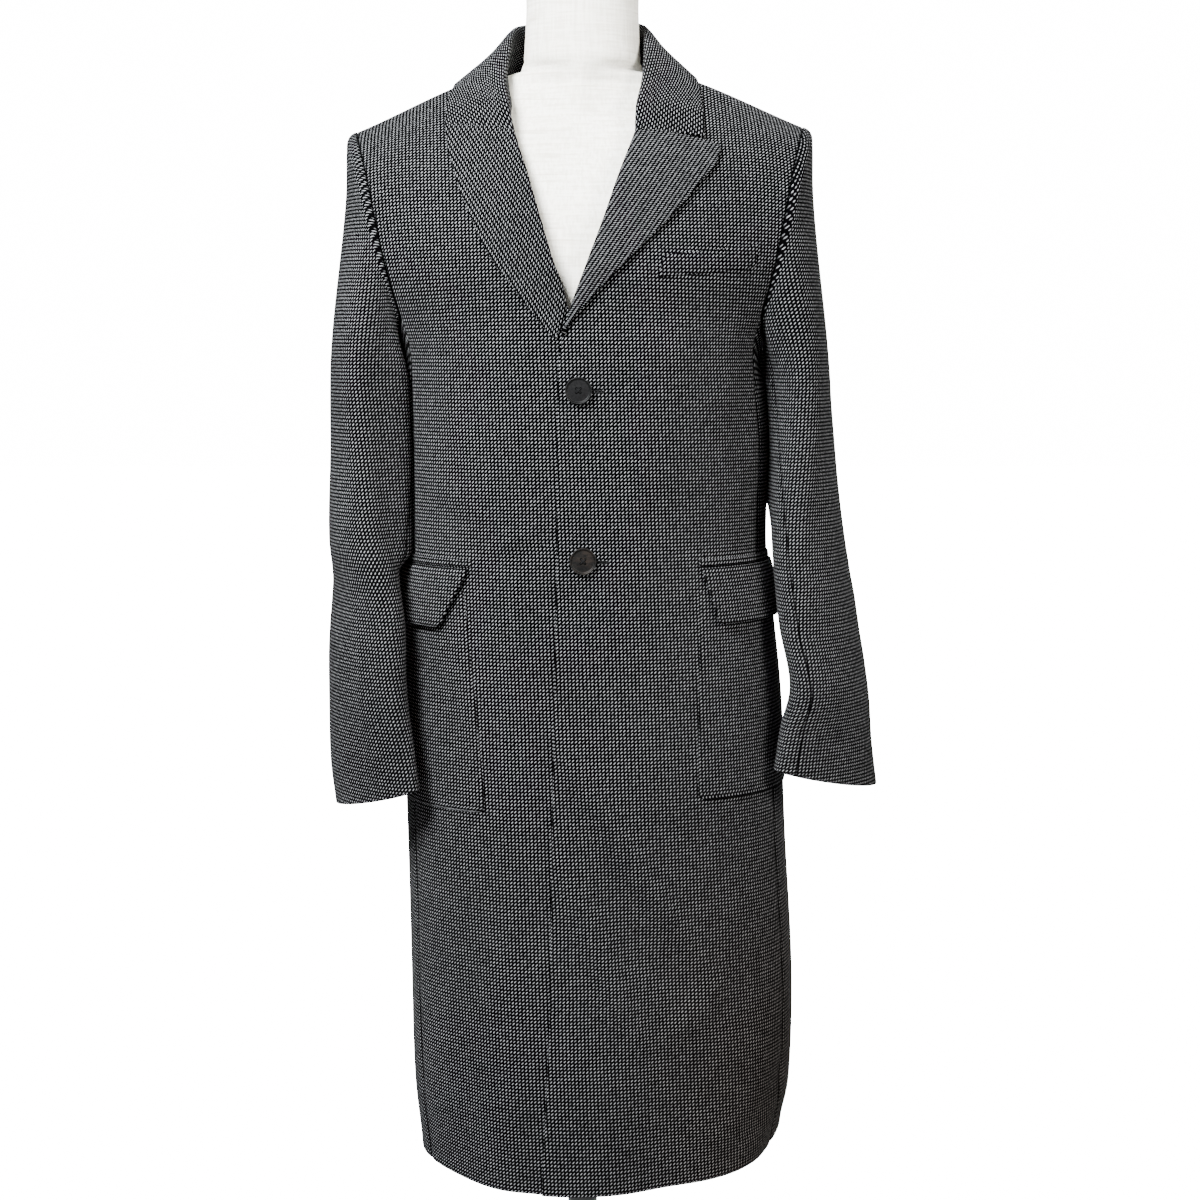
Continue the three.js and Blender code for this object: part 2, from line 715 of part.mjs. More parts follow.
// Solid of revolution about Z.
function turned(profile, count) {
  const points = profile.map(({ radius, height }) => new THREE.Vector2(radius, height));
  return new THREE.LatheGeometry(points, count).rotateX(Math.PI / 2);
}

function toSolid(geometry) {
  geometry.deleteAttribute('normal');
  geometry.deleteAttribute('uv');
  const merged = mergeVertices(geometry, 1e-4);
  return new wasm.Manifold(new wasm.Mesh({
    numProp: 3,
    vertProperties: Float32Array.from(merged.attributes.position.array),
    triVerts: Uint32Array.from(merged.index.array),
  }));
}

function fromSolid(solid) {
  const mesh = solid.getMesh();
  const geometry = new THREE.BufferGeometry();
  geometry.setAttribute('position', new THREE.Float32BufferAttribute(mesh.vertProperties, 3));
  geometry.setIndex([...mesh.triVerts]);
  geometry.computeVertexNormals();
  return geometry;
}

// Button of turned horn with a raised rim and four holes. Its axis is Z until it is placed.
function buttonGeometry() {
  const r = buttonRadius;
  const t = buttonThickness;
  const profile = table(
    ['radius', 'height'],
    [0, 0],
    [r - 1.4, 0],
    [r, 1.3],
    [r, t - 1],
    [r - 0.8, t],
    [r - 1.9, t],
    [r - 2.9, t - buttonRim],
    [0, t - buttonRim - 0.2],
  );
  let solid = toSolid(turned(profile, 28));
  for (const [x, y] of [[-1, -1], [1, -1], [1, 1], [-1, 1]]) {
    const hole = new THREE.CylinderGeometry(buttonHoleRadius, buttonHoleRadius, 3 * t, 8)
      .rotateX(Math.PI / 2)
      .translate((x * buttonHoleSpacing) / 2, (y * buttonHoleSpacing) / 2, t / 2);
    solid = solid.subtract(toSolid(hole));
  }
  return fromSolid(solid);
}

const buttons = table(['name', 'x', 'z'], ['button_upper', -2, 1146], ['button_lower', 2, 987]);

// Dress form: one row for each height. middle is the Y of its widest points.
const formRows = table(
  ['z', 'left', 'right', 'front', 'back', 'middle', 'power'],
  [640, 150, 150, -92, 98, 8, 2.3],
  [646, 158, 158, -100, 106, 8, 2.3],
  [700, 163, 163, -106, 111, 8, 2.3],
  [780, 162, 162, -106, 110, 8, 2.3],
  [880, 150, 150, -99, 98, 8, 2.2],
  [980, 140, 140, -94, 88, 8, 2.2],
  [1060, 142, 142, -97, 86, 8, 2.2],
  [1140, 150, 150, -102, 90, 8, 2.2],
  [1200, 157, 157, -104, 94, 8, 2.2],
  [1260, 164, 164, -98, 96, 8, 2.2],
  [1310, 171, 171, -87, 95, 6, 2.1],
  [1350, 179, 180, -74, 88, 4, 2],
  [1378, 185, 186, -64, 80, 3, 1.8],
  [1396, 187, 187, -57, 74, 2, 1.6],
);
const shoulderFoot = 1396; // the shoulder's slope lies between these two heights
const shoulderTop = 1452;
const shoulderHeights = [1408, 1416, 1424, 1432, 1440];
const shoulderShape = { front: [-53, -43], back: [67, 51], middle: 1, power: [1.3, 0.94] };
const shoulderRound = 186; // where the shoulder's slope ends
const neckRows = table(
  ['z', 'left', 'right', 'front', 'back', 'middle', 'power'],
  [1452, 60.5, 59, -47, 57, 2, 1.5],
  [1461, 58, 56.5, -49, 58, 3, 2],
  [1480, 56.5, 55, -48, 57, 4, 2],
  [1510, 55.5, 53.5, -47, 56, 4, 2],
  [1530, 55, 53, -46.5, 55.5, 4, 2],
  [1536, 51, 49, -42.5, 51.5, 4, 2],
);
const restGap = 0.6; // between the shoulders and the cloth that rests on them
const seamKnot = 1485.8; // where the fronts and backs end, at the shoulder seams and the neck

// Half-width of the form at a height on its shoulder: just under the coat's shoulder seam.
function shoulderHalf(z, panel) {
  let low = 0;
  let high = 1;
  for (let i = 0; i < 30; i += 1) {
    const mid = (low + high) / 2;
    if (panel(mid, seamKnot).z - wall * slopeShare - restGap > z) low = mid;
    else high = mid;
  }
  return Math.min(Math.abs(panel(low, seamKnot).x), shoulderRound);
}

// Collar: at each station the neck seam's share, the top of the roll and the edge of the fall.
const collarStations = {
  left: table(
    ['panel', 'share', 'topX', 'topY', 'topZ', 'edgeX', 'edgeZ'],
    ['front', 0.02, 49, -79, 1393, 117, 1385.5],
    ['front', 0.14, 54, -67, 1414, 116.5, 1407],
    ['front', 0.27, 59.5, -49, 1438, 115, 1423],
    ['front', 0.37, 62.5, -27, 1463, 113.5, 1434],
    ['front', 0.445, 63.5, -4, 1483, 111, 1443.5],
    ['back', 0.52, 63, 20, 1496, 105, 1441],
    ['back', 0.62, 56, 44, 1503, 90, 1441],
    ['back', 0.74, 43, 61, 1506, 70, 1440],
    ['back', 0.87, 22, 72, 1508, 37, 1439],
    ['back', 1, 0, 76, 1509, 0, 1438],
  ),
  right: table(
    ['panel', 'share', 'topX', 'topY', 'topZ', 'edgeX', 'edgeZ'],
    ['front', 0.02, -64, -79, 1394, -129.5, 1397],
    ['front', 0.14, -70, -64, 1414, -129, 1412],
    ['front', 0.27, -74, -47, 1435, -127, 1426],
    ['front', 0.37, -73.5, -25, 1457, -124.5, 1432],
    ['front', 0.445, -71, -4, 1477, -121, 1438.5],
    ['back', 0.52, -68, 20, 1493, -113, 1436],
    ['back', 0.62, -60, 44, 1501, -95, 1438],
    ['back', 0.74, -45, 61, 1505, -72, 1438],
    ['back', 0.87, -23, 72, 1508, -37, 1438],
    ['back', 1, 0, 76, 1509, 0, 1438],
  ),
};
const neckPointShare = 0.45; // share of the neck seam that belongs to the front
const gorgeKnot = 1396; // where the neck seam begins on the front
const collarRoll = 3.4; // radius of the fold at the collar's top

function neckSeam(panels, share) {
  if (share <= neckPointShare) return panels.front(0, lerp(gorgeKnot, seamKnot, share / neckPointShare));
  return panels.back(neckShare * (1 - (share - neckPointShare) / (1 - neckPointShare)), seamKnot);
}

// Path across the collar at a station: up inside the neck, over the roll and down the fall.
function collarPath(station, panels, sign) {
  const axis = vec(0, 8, 0);
  const seam = neckSeam(panels, station.share);
  const top = vec(station.topX, station.topY, station.topZ);
  const inward = vec(axis.x - top.x, axis.y - top.y, 0).normalize();
  const panel = panels[station.panel];
  const [w, knot] = locate(panel, station.edgeX, station.edgeZ, 0.4);
  const normal = normalOf(panel, w, knot, station.panel === 'front' ? sign : -sign);
  const edge = panel(w, knot).addScaledVector(normal, layGap + wall);
  const foot = seam.clone().addScaledVector(inward, wall + 1).add(vec(0, 0, -1.5));
  const fall = edge.clone().sub(top).normalize();
  const up = vec(0, 0, 1);
  const outwardUp = fall.clone().multiplyScalar(-1).add(up).normalize();
  return new THREE.CatmullRomCurve3([
    foot,
    foot.clone().lerp(top, 0.55).addScaledVector(inward, 1.5),
    top.clone().addScaledVector(inward, collarRoll).addScaledVector(up, -collarRoll),
    top.clone().addScaledVector(outwardUp, collarRoll * 0.6),
    top.clone().addScaledVector(inward, -collarRoll).addScaledVector(fall, 2),
    top.clone().lerp(edge, 0.35).addScaledVector(up, 3),
    top.clone().lerp(edge, 0.7).addScaledVector(up, 2),
    edge,
  ], false, 'centripetal');
}

const coatCloth = { color: 0x3a3c3e, roughness: 0.95, metalness: 0 };
const formLinen = { color: 0xe6e0d4, roughness: 0.85, metalness: 0 };
const horn = { color: 0x1c1a19, roughness: 0.35, metalness: 0 };
const standSteel = { color: 0x2b2b2c, roughness: 0.4, metalness: 0.9 };

const coat = new THREE.Group();
coat.name = 'chesterfield_coat_on_form';

function addPiece(name, geometry, finish) {
  const mesh = new THREE.Mesh(geometry, new THREE.MeshStandardMaterial(finish));
  mesh.name = name;
  coat.add(mesh);
  return mesh;
}

const sides = [{ name: 'left', sign: 1 }, { name: 'right', sign: -1 }];
const bodyKnots = [372, 415, 480, 560, 650, 745, 840, 930, 972, 1015, 1050, 1090, 1150, 1184];
const shoulderKnots = [cornerKnot, 1250, 1281, 1312, 1342, 1370, 1398, 1425, 1455, seamKnot];
const panelsOf = {};
const seamShare = 0.0012; // half a seam's gap, as a share of a panel's width

for (const { name, sign } of sides) {
  const front = frontSurface(sign);
  const back = backSurface(sign);
  const side = sideSurface(sign, front, back);
  panelsOf[name] = { front, back };
  const knots = [...bodyKnots, ...shoulderKnots];
  const sideKnots = [...bodyKnots.slice(0, -1), 1170, sideTop];
  addPiece(`front_${name}`, cloth(front, sign, steps(0, 1 - seamShare, 10), knots), coatCloth);
  const across = steps(seamShare * 2, 1 - seamShare * 2, 5);
  addPiece(`side_${name}`, cloth(side, sign, across, sideKnots), coatCloth);
  addPiece(`back_${name}`, cloth(back, -sign, steps(seamShare * 3, 1 - seamShare, 10), knots), coatCloth);
}

for (const { name, sign } of sides) {
  const surface = sleeveSurface(name, sign);
  const front = (knot) =>
    sleeveRings[name](knot > 0 ? upperArm : lerp(upperArm, cuffHeight[name], -knot)).seam;
  addPiece(`top_sleeve_${name}`, sleevePiece(surface, sign, () => elbowSeam - 360, front, 16), coatCloth);
  addPiece(`under_sleeve_${name}`, sleevePiece(surface, sign, front, () => elbowSeam, 8), coatCloth);
}

// Collar, from the wearer's right gorge round the back to the left one.
const collarColumns = [0, 0.12, 0.25, 0.33, 0.4, 0.48, 0.6, 0.72, 0.86, 1];
const collarLine = [
  ...collarStations.right.map((station) => collarPath(station, panelsOf.right, -1)),
  ...collarStations.left.slice(0, -1).reverse().map((station) => collarPath(station, panelsOf.left, 1)),
];
function collarSurface(u, v) {
  const i = clamp(Math.floor(v), 0, collarLine.length - 2);
  const before = collarLine[Math.max(i - 1, 0)];
  const after = collarLine[Math.min(i + 2, collarLine.length - 1)];
  const [p, q, r, t] = [before, collarLine[i], collarLine[i + 1], after]
    .map((path) => path.getPoint(clamp(u, 0, 1)));
  const along = (k) => hermite(q[k], r[k], (r[k] - p[k]) / 2, (t[k] - q[k]) / 2, v - i, 1);
  return vec(along('x'), along('y'), along('z'));
}
addPiece('collar', shell(collarColumns.length, collarLine.length, (i, j) => {
  const u = collarColumns[i];
  const across = collarSurface(u + 0.01, j).sub(collarSurface(u - 0.01, j));
  const along = collarSurface(u, Math.min(j + 0.05, collarLine.length - 1))
    .sub(collarSurface(u, Math.max(j - 0.05, 0)));
  const normal = across.cross(along).normalize();
  const outer = collarSurface(u, j);
  return [outer, outer.clone().addScaledVector(normal, -wall)];
}), coatCloth);

for (const { name, sign } of sides) {
  const patch = (rows, width, lift, thick) => bodyPatch(rows[name], sign, width, 14, lift, thick);
  addPiece(`pocket_${name}`, patch(pocketRows, pocketWidth, () => pocketLift, pocketThickness), coatCloth);
  addPiece(`flap_${name}`, patch(flapRows, pocketWidth, (row) => row.lift, flapThickness), coatCloth);
  addPiece(`flap_welt_${name}`, patch(flapWeltRows, pocketWidth + 4, () => flapWeltLift, wall), coatCloth);
}
const breastWeltStrip = laidStrip(panelsOf.left.front, 1, breastWelt, 6, () => pocketLift, wall);
addPiece('breast_welt', breastWeltStrip, coatCloth);

for (const { name, x, z } of buttons) {
  const panel = panelsOf.left.front;
  const [w, knot] = locate(panel, x, z, 0.1);
  const normal = normalOf(panel, w, knot, 1);
  const mesh = addPiece(name, buttonGeometry(), horn);
  mesh.position.copy(panel(w, knot)).addScaledVector(normal, buttonLift);
  mesh.quaternion.setFromUnitVectors(vec(0, 0, 1), normal);
}

// The form's shoulder rings are worked out from the coat's shoulder seams.
const shoulderRows = shoulderHeights.map((z) => {
  const share = (z - shoulderFoot) / (shoulderTop - shoulderFoot);
  return {
    z,
    left: shoulderHalf(z, panelsOf.left.front),
    right: shoulderHalf(z, panelsOf.right.front),
    front: lerp(...shoulderShape.front, share),
    back: lerp(...shoulderShape.back, share),
    middle: shoulderShape.middle,
    power: lerp(...shoulderShape.power, share),
  };
});

function closedRings(rings, count) {
  const positions = [];
  const index = [];
  for (const ring of rings) {
    for (let i = 0; i < count; i += 1) {
      const angle = (2 * Math.PI * i) / count;
      const cos = Math.cos(angle);
      const sin = Math.sin(angle);
      const spread = (value) => Math.sign(value) * Math.abs(value) ** (2 / ring.power);
      positions.push(
        spread(cos) * (cos >= 0 ? ring.left : ring.right),
        ring.middle + spread(sin) * (sin >= 0 ? ring.back - ring.middle : ring.middle - ring.front),
        ring.z,
      );
    }
  }
  const bottom = positions.length / 3;
  positions.push(0, rings[0].middle, rings[0].z);
  const top = bottom + 1;
  positions.push(0, rings[rings.length - 1].middle, rings[rings.length - 1].z);
  for (let i = 0; i < count; i += 1) {
    const next = (i + 1) % count;
    for (let j = 0; j < rings.length - 1; j += 1) {
      const [a, b, c, d] = [j * count + i, j * count + next, (j + 1) * count + next, (j + 1) * count + i];
      index.push(a, b, c, a, c, d);
    }
    const last = (rings.length - 1) * count;
    index.push(bottom, next, i, top, last + i, last + next);
  }
  const geometry = new THREE.BufferGeometry();
  geometry.setAttribute('position', new THREE.Float32BufferAttribute(positions, 3));
  geometry.setIndex(index);
  if (signedVolume(positions, index) < 0) flipFaces(geometry);
  geometry.computeVertexNormals();
  return geometry;
}
addPiece('dress_form', closedRings([...formRows, ...shoulderRows, ...neckRows], 36), formLinen);

const hubTop = baseThickness + hubHeight;
const poleLength = formBottom - hubTop - 2 * poleGap;
const pole = new THREE.CylinderGeometry(poleRadius, poleRadius, poleLength, 24)
  .rotateX(Math.PI / 2)
  .translate(0, 0, (formBottom + hubTop) / 2);
addPiece('stand_pole', pole, standSteel);
const baseProfile = table(
  ['radius', 'height'],
  [0, 0],
  [baseRadius - 2, 0],
  [baseRadius, 2],
  [baseRadius, baseThickness - 3],
  [baseRadius - 3, baseThickness],
  [hubRadius, baseThickness + 1.5],
  [poleRadius + 6, baseThickness + 6],
  [poleRadius + 4, hubTop],
  [0, hubTop],
);
addPiece('base_plate', turned(baseProfile, 48), standSteel);

for (const { name, sign } of sides) {
  const strip = laidStrip(panelsOf[name].front, sign, lapelRows[name], 7, lapelLift[name], lapelThickness);
  addPiece(`lapel_${name}`, strip, coatCloth);
}

export default coat;
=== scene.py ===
import math

import bpy
import numpy as np
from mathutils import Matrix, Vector


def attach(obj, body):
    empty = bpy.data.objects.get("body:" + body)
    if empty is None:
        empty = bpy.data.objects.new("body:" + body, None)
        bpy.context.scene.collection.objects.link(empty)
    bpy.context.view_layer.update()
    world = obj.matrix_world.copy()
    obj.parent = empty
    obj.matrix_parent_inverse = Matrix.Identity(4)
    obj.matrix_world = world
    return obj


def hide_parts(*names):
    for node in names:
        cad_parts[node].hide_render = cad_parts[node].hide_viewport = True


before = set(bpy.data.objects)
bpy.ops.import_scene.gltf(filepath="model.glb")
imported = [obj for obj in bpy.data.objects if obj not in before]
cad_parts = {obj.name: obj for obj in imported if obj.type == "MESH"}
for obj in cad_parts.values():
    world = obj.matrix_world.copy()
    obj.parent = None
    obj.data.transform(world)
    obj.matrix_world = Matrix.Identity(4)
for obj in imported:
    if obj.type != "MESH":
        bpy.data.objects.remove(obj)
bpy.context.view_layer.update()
bpy.ops.object.select_all(action="DESELECT")
print("frame loaded:", len(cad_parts), "nodes")

# Every length in the tables is in millimetres, as in the part's source. Meshes are made in metres.
metre = 0.001
wearerSides = {"left": 1, "right": -1}

camera = {"place": (0.018, -2.186, 1.185), "tiltDown": 6.524, "lens": 66, "sensor": 36}

light = {
    "world": 0.54,
    "seen": 20,
    "key": {"place": (-0.95, -1.45, 2.45), "size": 0.9, "power": 355, "tint": (0.96, 0.98, 1.0)},
    "fill": {"place": (1.5, -1.4, 1.8), "size": 0.8, "power": 92, "tint": (1.0, 0.98, 0.95)},
    "back": {"place": (0.6, 2.6, 2.6), "size": 2.2, "power": 160, "tint": (1.0, 1.0, 1.0)},
}

weave = {
    "pitchAcross": 3.55,
    "pitchDown": 3.44,
    "shiftPerRow": 0.15,
    "dashAngle": 47,
    "dashHalfLength": 1.52,
    "dashHalfWidth": 0.44,
    "ground": (0.0003, 0.0003, 0.0004),
    "dash": (0.2, 0.204, 0.21),
    # the skirt's lower left side: a browner tint, with darker dashes as painted shade
    "shadedWarmGround": (0.0008, 0.0006, 0.0005),
    "shadedWarmDash": (0.13, 0.12, 0.113),
}

colours = {
    "lining": ((0.008, 0.008, 0.009), (0.016, 0.016, 0.018)),
    "linen": ((0.79, 0.77, 0.69), (0.89, 0.88, 0.80)),
    "linenThread": (0.6, 0.57, 0.49),
    "linenSlub": (0.52, 0.48, 0.4),
    "hornDark": ((0.0008, 0.0008, 0.0009), (0.003, 0.003, 0.0032)),
    "hornBrown": ((0.001, 0.0009, 0.0008), (0.009, 0.0062, 0.0046)),
    "thread": ((0.001, 0.001, 0.0011), (0.006, 0.006, 0.0065)),
    "stand": ((0.012, 0.012, 0.013), (0.03, 0.03, 0.031)),
    "floor": ((0.3, 0.3, 0.3), (0.34, 0.34, 0.34)),
}

body = {
    # z, right, left, front, back, middle
    "sections": [
        (372, 201, -161, -148, 140, 4), (450, 210, -168, -147, 137, 5),
        (560, 213, -172, -144, 134, 5),
        (700, 206, -177, -139, 128, 4), (840, 198, -179, -137, 122, 3),
        (915, 191, -178, -136, 115, 2),
        (985, 184, -176, -135, 108, 1), (1030, 182.4, -175.7, -134.6, 107.6, 0.7),
        (1090, 185, -175, -134, 104, 0),
        (1180, 179, -178, -133, 112, 0),
        (1240, 184, -184, -131, 118, 0),
    ],
    "sideDepth": 8,
    "fullness": 0.62,
    "frontSeam": 0.75,
    "backSeam": 0.72,
    "hem": 372,
    # at, depth, width, top
    "folds": [
        (0.24, 9, 0.13, 800), (0.55, -6, 0.16, 760), (0.92, -2, 0.16, 620), (-0.5, 4, 0.16, 700),
        (-0.85, -4, 0.16, 760), (1.3, -7, 0.2, 820), (1.7, 8, 0.14, 820), (-1.35, -6, 0.2, 820),
        (-1.72, 8, 0.14, 780),
    ],
    "hemRise": [(-2, 12), (-1, 8), (-0.4, 0), (0.15, 0), (0.6, 14), (1, 30), (1.5, 16), (2, 12)],
    "lap": 3.6,
    "lapBlend": 45,
    "knots": [372, 450, 560, 700, 840, 985, 1090, 1150, 1184],
}

# z, left, right
closingEdge = [
    (300, -39, 22), (383, -38, 22), (546, -30, 24), (743, -28, 25), (900, -24, 26), (1016, -22, 27),
    (1120, -22, 25), (1188, -19, 4),
]

armhole = {
    "tip": (215.5, 3, 1400), "front1": (213.5, -18, 1393), "front2": (209, -39, 1379),
    "front3": (201, -62, 1349), "front4": (193, -73, 1308), "front5": (184, -73, 1262),
    "front6": (172.5, -59, 1216), "under1": (176.5, -28, 1190), "under2": (178.5, 8, 1181),
    "under3": (177.5, 40, 1190), "back6": (172.5, 68, 1216), "back5": (183, 82, 1262),
    "back4": (193, 82, 1308), "back3": (201, 68, 1350), "back2": (209, 44, 1381),
    "back1": (213.5, 23, 1394),
}
shoulder = {"drop": 5, "reach": 3.5, "underarm": 1181, "tip": 1400}

# knot, leftX, rightX, inY, leftZ, rightZ, outer, turn, rise, outerPull, innerPull
rollRows = [
    (1220, -11, -7, -128, 1220, 1220, "front6", 62, 0, 42, 62),
    (1266, 6, -24, -120, 1266, 1264, "front5", 38, 0.02, 42, 60),
    (1312, 23, -38, -106, 1312, 1310, "front4", 20, 0.12, 42, 56),
    (1356, 38, -50, -89, 1356, 1352, "front3", 10, 0.26, 44, 54),
    (1398, 51.5, -63, -70, 1391, 1391, "front2", 4, 0.36, 46, 50),
    (1436, 61, -70, -45, 1424, 1424, "front1", 1, 0.4, 46, 46),
    (1486, 75, -76, -1, 1454, 1453, "tip", 0, 0.4, 46, 46),
]
# knot, inX, inY, inZ, outer, turn, rise, outerPull, innerPull
backRows = [
    (1220, 0, 116, 1220, "back6", 62, 0, 42, 70),
    (1266, 0, 120, 1266, "back5", 38, 0.02, 44, 66),
    (1312, 0, 120, 1312, "back4", 20, 0.12, 44, 62),
    (1356, 0, 116, 1356, "back3", 10, 0.26, 46, 60),
    (1398, 0, 104, 1400, "back2", 4, 0.36, 48, 56),
    (1436, 0, 86, 1438, "back1", 1, 0.4, 48, 46),
]
neck = {"back": (0, 70, 1461), "handles": ((36, 70, 1461), (70, 38, 1457)), "share": 0.4,
        "pointShare": 0.45, "topKnot": 1485.8}

sleeves = {
    # z, x, y, deep, wide, turn, seam
    "left": [
        (764, 241.7, -42, 68, 29.9, 48, 62), (808, 242, -38, 66, 30.7, 40, 64),
        (851, 245, -34, 66, 30, 31, 70),
        (912, 235, -28, 69, 32.7, 28, 80), (1005, 223.8, -18, 73, 33.3, 18, 100),
        (1095, 218.5, -8, 77, 31, 7, 135),
        (1150, 215, -1, 80, 30, 2, 150), (1200, 214, 3, 82, 30, 0, 155),
    ],
    "right": [
        (749, -200.5, -64, 66, 22.7, 39, 120), (793, -205.7, -60, 66, 24.6, 38, 122),
        (851, -209.9, -52, 67, 27.1, 32, 128), (912, -211, -42, 70, 29, 28, 132),
        (955, -212.3, -34, 72, 27.5, 22, 136),
        (1005, -214.5, -24, 74, 34.5, 11, 140), (1095, -212.9, -9, 78, 35, 4, 148),
        (1150, -213, -2, 81, 34.5, 2, 152),
        (1200, -215, 1, 82, 30, 0, 155),
    ],
    "elbowSeam": 236,
    "cuff": {"left": 764, "right": 749},
    "cuffSlope": {"left": 0.25, "right": 0.33},
    "upperArm": 1150,
    "ringStep": 30,
    "headReach": 10,
    "headDrop": 12,
    # above this height a sleeve's inner side hangs against the body
    "hugFrom": {"left": 995, "right": 966},
    "hugBlend": {"left": 45, "right": 18},
    "hugGap": 2,
    "hugDepth": {"left": (-48, -12), "right": (-84, -50)},
    "underarmEase": 1.3,
    "rollAt": 0.9,
    "gapDegrees": 0.06,
}

lapels = {
    "thick": 2.4,
    # how far the front runs in under the fold
    "tuck": 3.4,
    # startX, startZ, edgeX, edgeZ, bend
    "left": [
        (-16, 1197, -11, 1206, 0), (-12, 1214, 8, 1230, 0), (-5, 1236, 31, 1254, 0),
        (5, 1263, 59, 1282, 0),
        (16, 1294, 85, 1308, 0), (28, 1328, 109, 1336, 0), (40, 1360, 126, 1356, 1),
        (51, 1389.5, 132, 1372, 9),
    ],
    "right": [
        (-21.5, 1194, -26.5, 1196, 0), (-17, 1207, -38, 1209, 0), (-13, 1222, -50, 1224, 0),
        (-17, 1244, -68, 1248, 0), (-27, 1271, -87, 1274, 0), (-36, 1301, -101, 1303, 0),
        (-46, 1335, -114, 1335, 0), (-55, 1364, -124, 1366, 0), (-63, 1389.5, -129, 1395, 2),
    ],
    "clear": 0.45,
    "bulge": {"left": 3.2, "right": 1.6},
    "standOff": {"left": 2.4, "right": 0.7},
    # how x and z on the chest become the cloth's own across and along, as the facing is cut
    "cut": {"left": ((0.844, -0.65), (0.162, 1.663)), "right": ((0.888, 0.482), (-0.773, 0.832))},
}

welt = {"x": (72, 164), "z": (1251, 1261), "high": 21}
pockets = {
    "wide": 172,
    "left": [(756, 112), (790, 112), (830, 112), (870, 112.5), (910, 113), (955, 113)],
    "right": [(744, -91), (785, -94.5), (830, -98.5), (870, -102.5), (910, -107), (955, -111)],
}
# z, x of the front edge, how far it stands off the cloth below
flaps = {
    "left": [(924, 128, 5), (935, 125, 4.6), (950, 121, 3.8), (966, 116.5, 2.4), (978.5, 113, 0.6)],
    "right": [(920, -131, 4.8), (934, -125, 4.6), (950, -117.5, 4.2), (966, -110.5, 2.4), (978, -105, 0.6)],
    "weltHigh": 7,
    "weltStart": {"left": (979.3, 112), "right": (978.8, -104)},
}

collar = {
    # panel, share of the neck seam, topX, topY, topZ, edgeX, edgeZ
    "left": [
        ("front", 0.02, 49, -79, 1393, 117, 1385.5), ("front", 0.14, 54, -67, 1414, 116.5, 1407),
        ("front", 0.27, 59.5, -49, 1438, 115, 1423), ("front", 0.37, 62.5, -27, 1463, 113.5, 1434),
        ("front", 0.445, 63.5, -4, 1483, 111, 1443.5), ("back", 0.52, 63, 20, 1496, 105, 1441),
        ("back", 0.62, 56, 44, 1503, 90, 1441), ("back", 0.74, 43, 61, 1506, 70, 1440),
        ("back", 0.87, 22, 72, 1508, 37, 1439), ("back", 1, 0, 76, 1509, 0, 1438),
    ],
    "right": [
        ("front", 0.02, -64, -79, 1394, -129.5, 1397), ("front", 0.14, -70, -64, 1414, -129, 1412),
        ("front", 0.27, -74, -47, 1435, -127, 1426),
        ("front", 0.37, -73.5, -25, 1457, -124.5, 1432),
        ("front", 0.445, -71, -4, 1477, -121, 1438.5), ("back", 0.52, -68, 20, 1493, -113, 1436),
        ("back", 0.62, -60, 44, 1501, -95, 1438), ("back", 0.74, -45, 61, 1505, -72, 1438),
        ("back", 0.87, -23, 72, 1508, -37, 1438), ("back", 1, 0, 76, 1509, 0, 1438),
    ],
    "roll": 3.4,
    "layGap": 0.5,
    "wall": 2.4,
    "foldShare": 0.43,
    "notch": {"startX": 88, "tipX": 117, "open": 3.6},
    "grainTurn": {"left": -38, "right": 48},
}

cloth = {"wall": 2.4, "spacing": 4.5}

# Creases of the coat's body: line, depth and width. Each is a soft ridge (or a
# trough, where its depth is below 0) along a line of (degrees round the body, height), 0 in front
# and 90 at the wearer's left.
bodyCreases = [
    ([(-10, 822), (2, 761), (21, 683), (44, 576)], 6.2, 12),
    ([(-2, 760), (12, 670), (34, 560)], -4.2, 18),
    ([(46, 580), (40, 550), (32, 528)], 4.4, 11),
    ([(-9, 697), (6, 615), (20, 517)], 5.6, 12),
    ([(-4, 610), (6, 540), (14, 480)], -3.6, 17),
    ([(-16, 1020), (-27, 1004), (-37, 993)], 1.8, 9),
    ([(-14, 1003), (-26, 990), (-36, 984)], -2.4, 8),
    ([(30, 470), (44, 430), (60, 400)], 2.6, 12),
    ([(46, 400), (62, 440), (74, 480)], -2.4, 12),
    ([(-48, 930), (-42, 870), (-36, 800)], 2.0, 11),
    ([(-58, 900), (-50, 830), (-45, 770)], -1.8, 11),
    ([(-60, 1060), (-48, 1046), (-38, 1034)], 2.0, 9),
    ([(-62, 1036), (-52, 1024), (-42, 1014)], -1.6, 9),
    ([(-14, 620), (-20, 500), (-24, 400)], 2.0, 16),
    ([(-36, 700), (-42, 560), (-44, 420)], -1.8, 17),
    ([(58, 1190), (52, 1140), (44, 1100)], 1.8, 10),
    ([(66, 1180), (60, 1120), (56, 1060)], -1.8, 10),
    ([(-58, 1190), (-50, 1130), (-43, 1090)], 1.6, 10),
    ([(150, 1120), (140, 900), (132, 640)], 3.0, 20),
    ([(165, 1000), (160, 800), (152, 520)], -2.4, 18),
    ([(-150, 1100), (-143, 880), (-136, 600)], 2.8, 20),
    ([(-166, 960), (-160, 760), (-154, 480)], -2.2, 18),
    ([(176, 1330), (160, 1300), (140, 1290)], -1.6, 16),
    ([(-176, 1330), (-160, 1302), (-140, 1292)], -1.6, 16),
    ([(112, 860), (106, 700), (100, 520)], 2.4, 18),
    ([(-112, 840), (-106, 690), (-100, 500)], 2.4, 18),
]

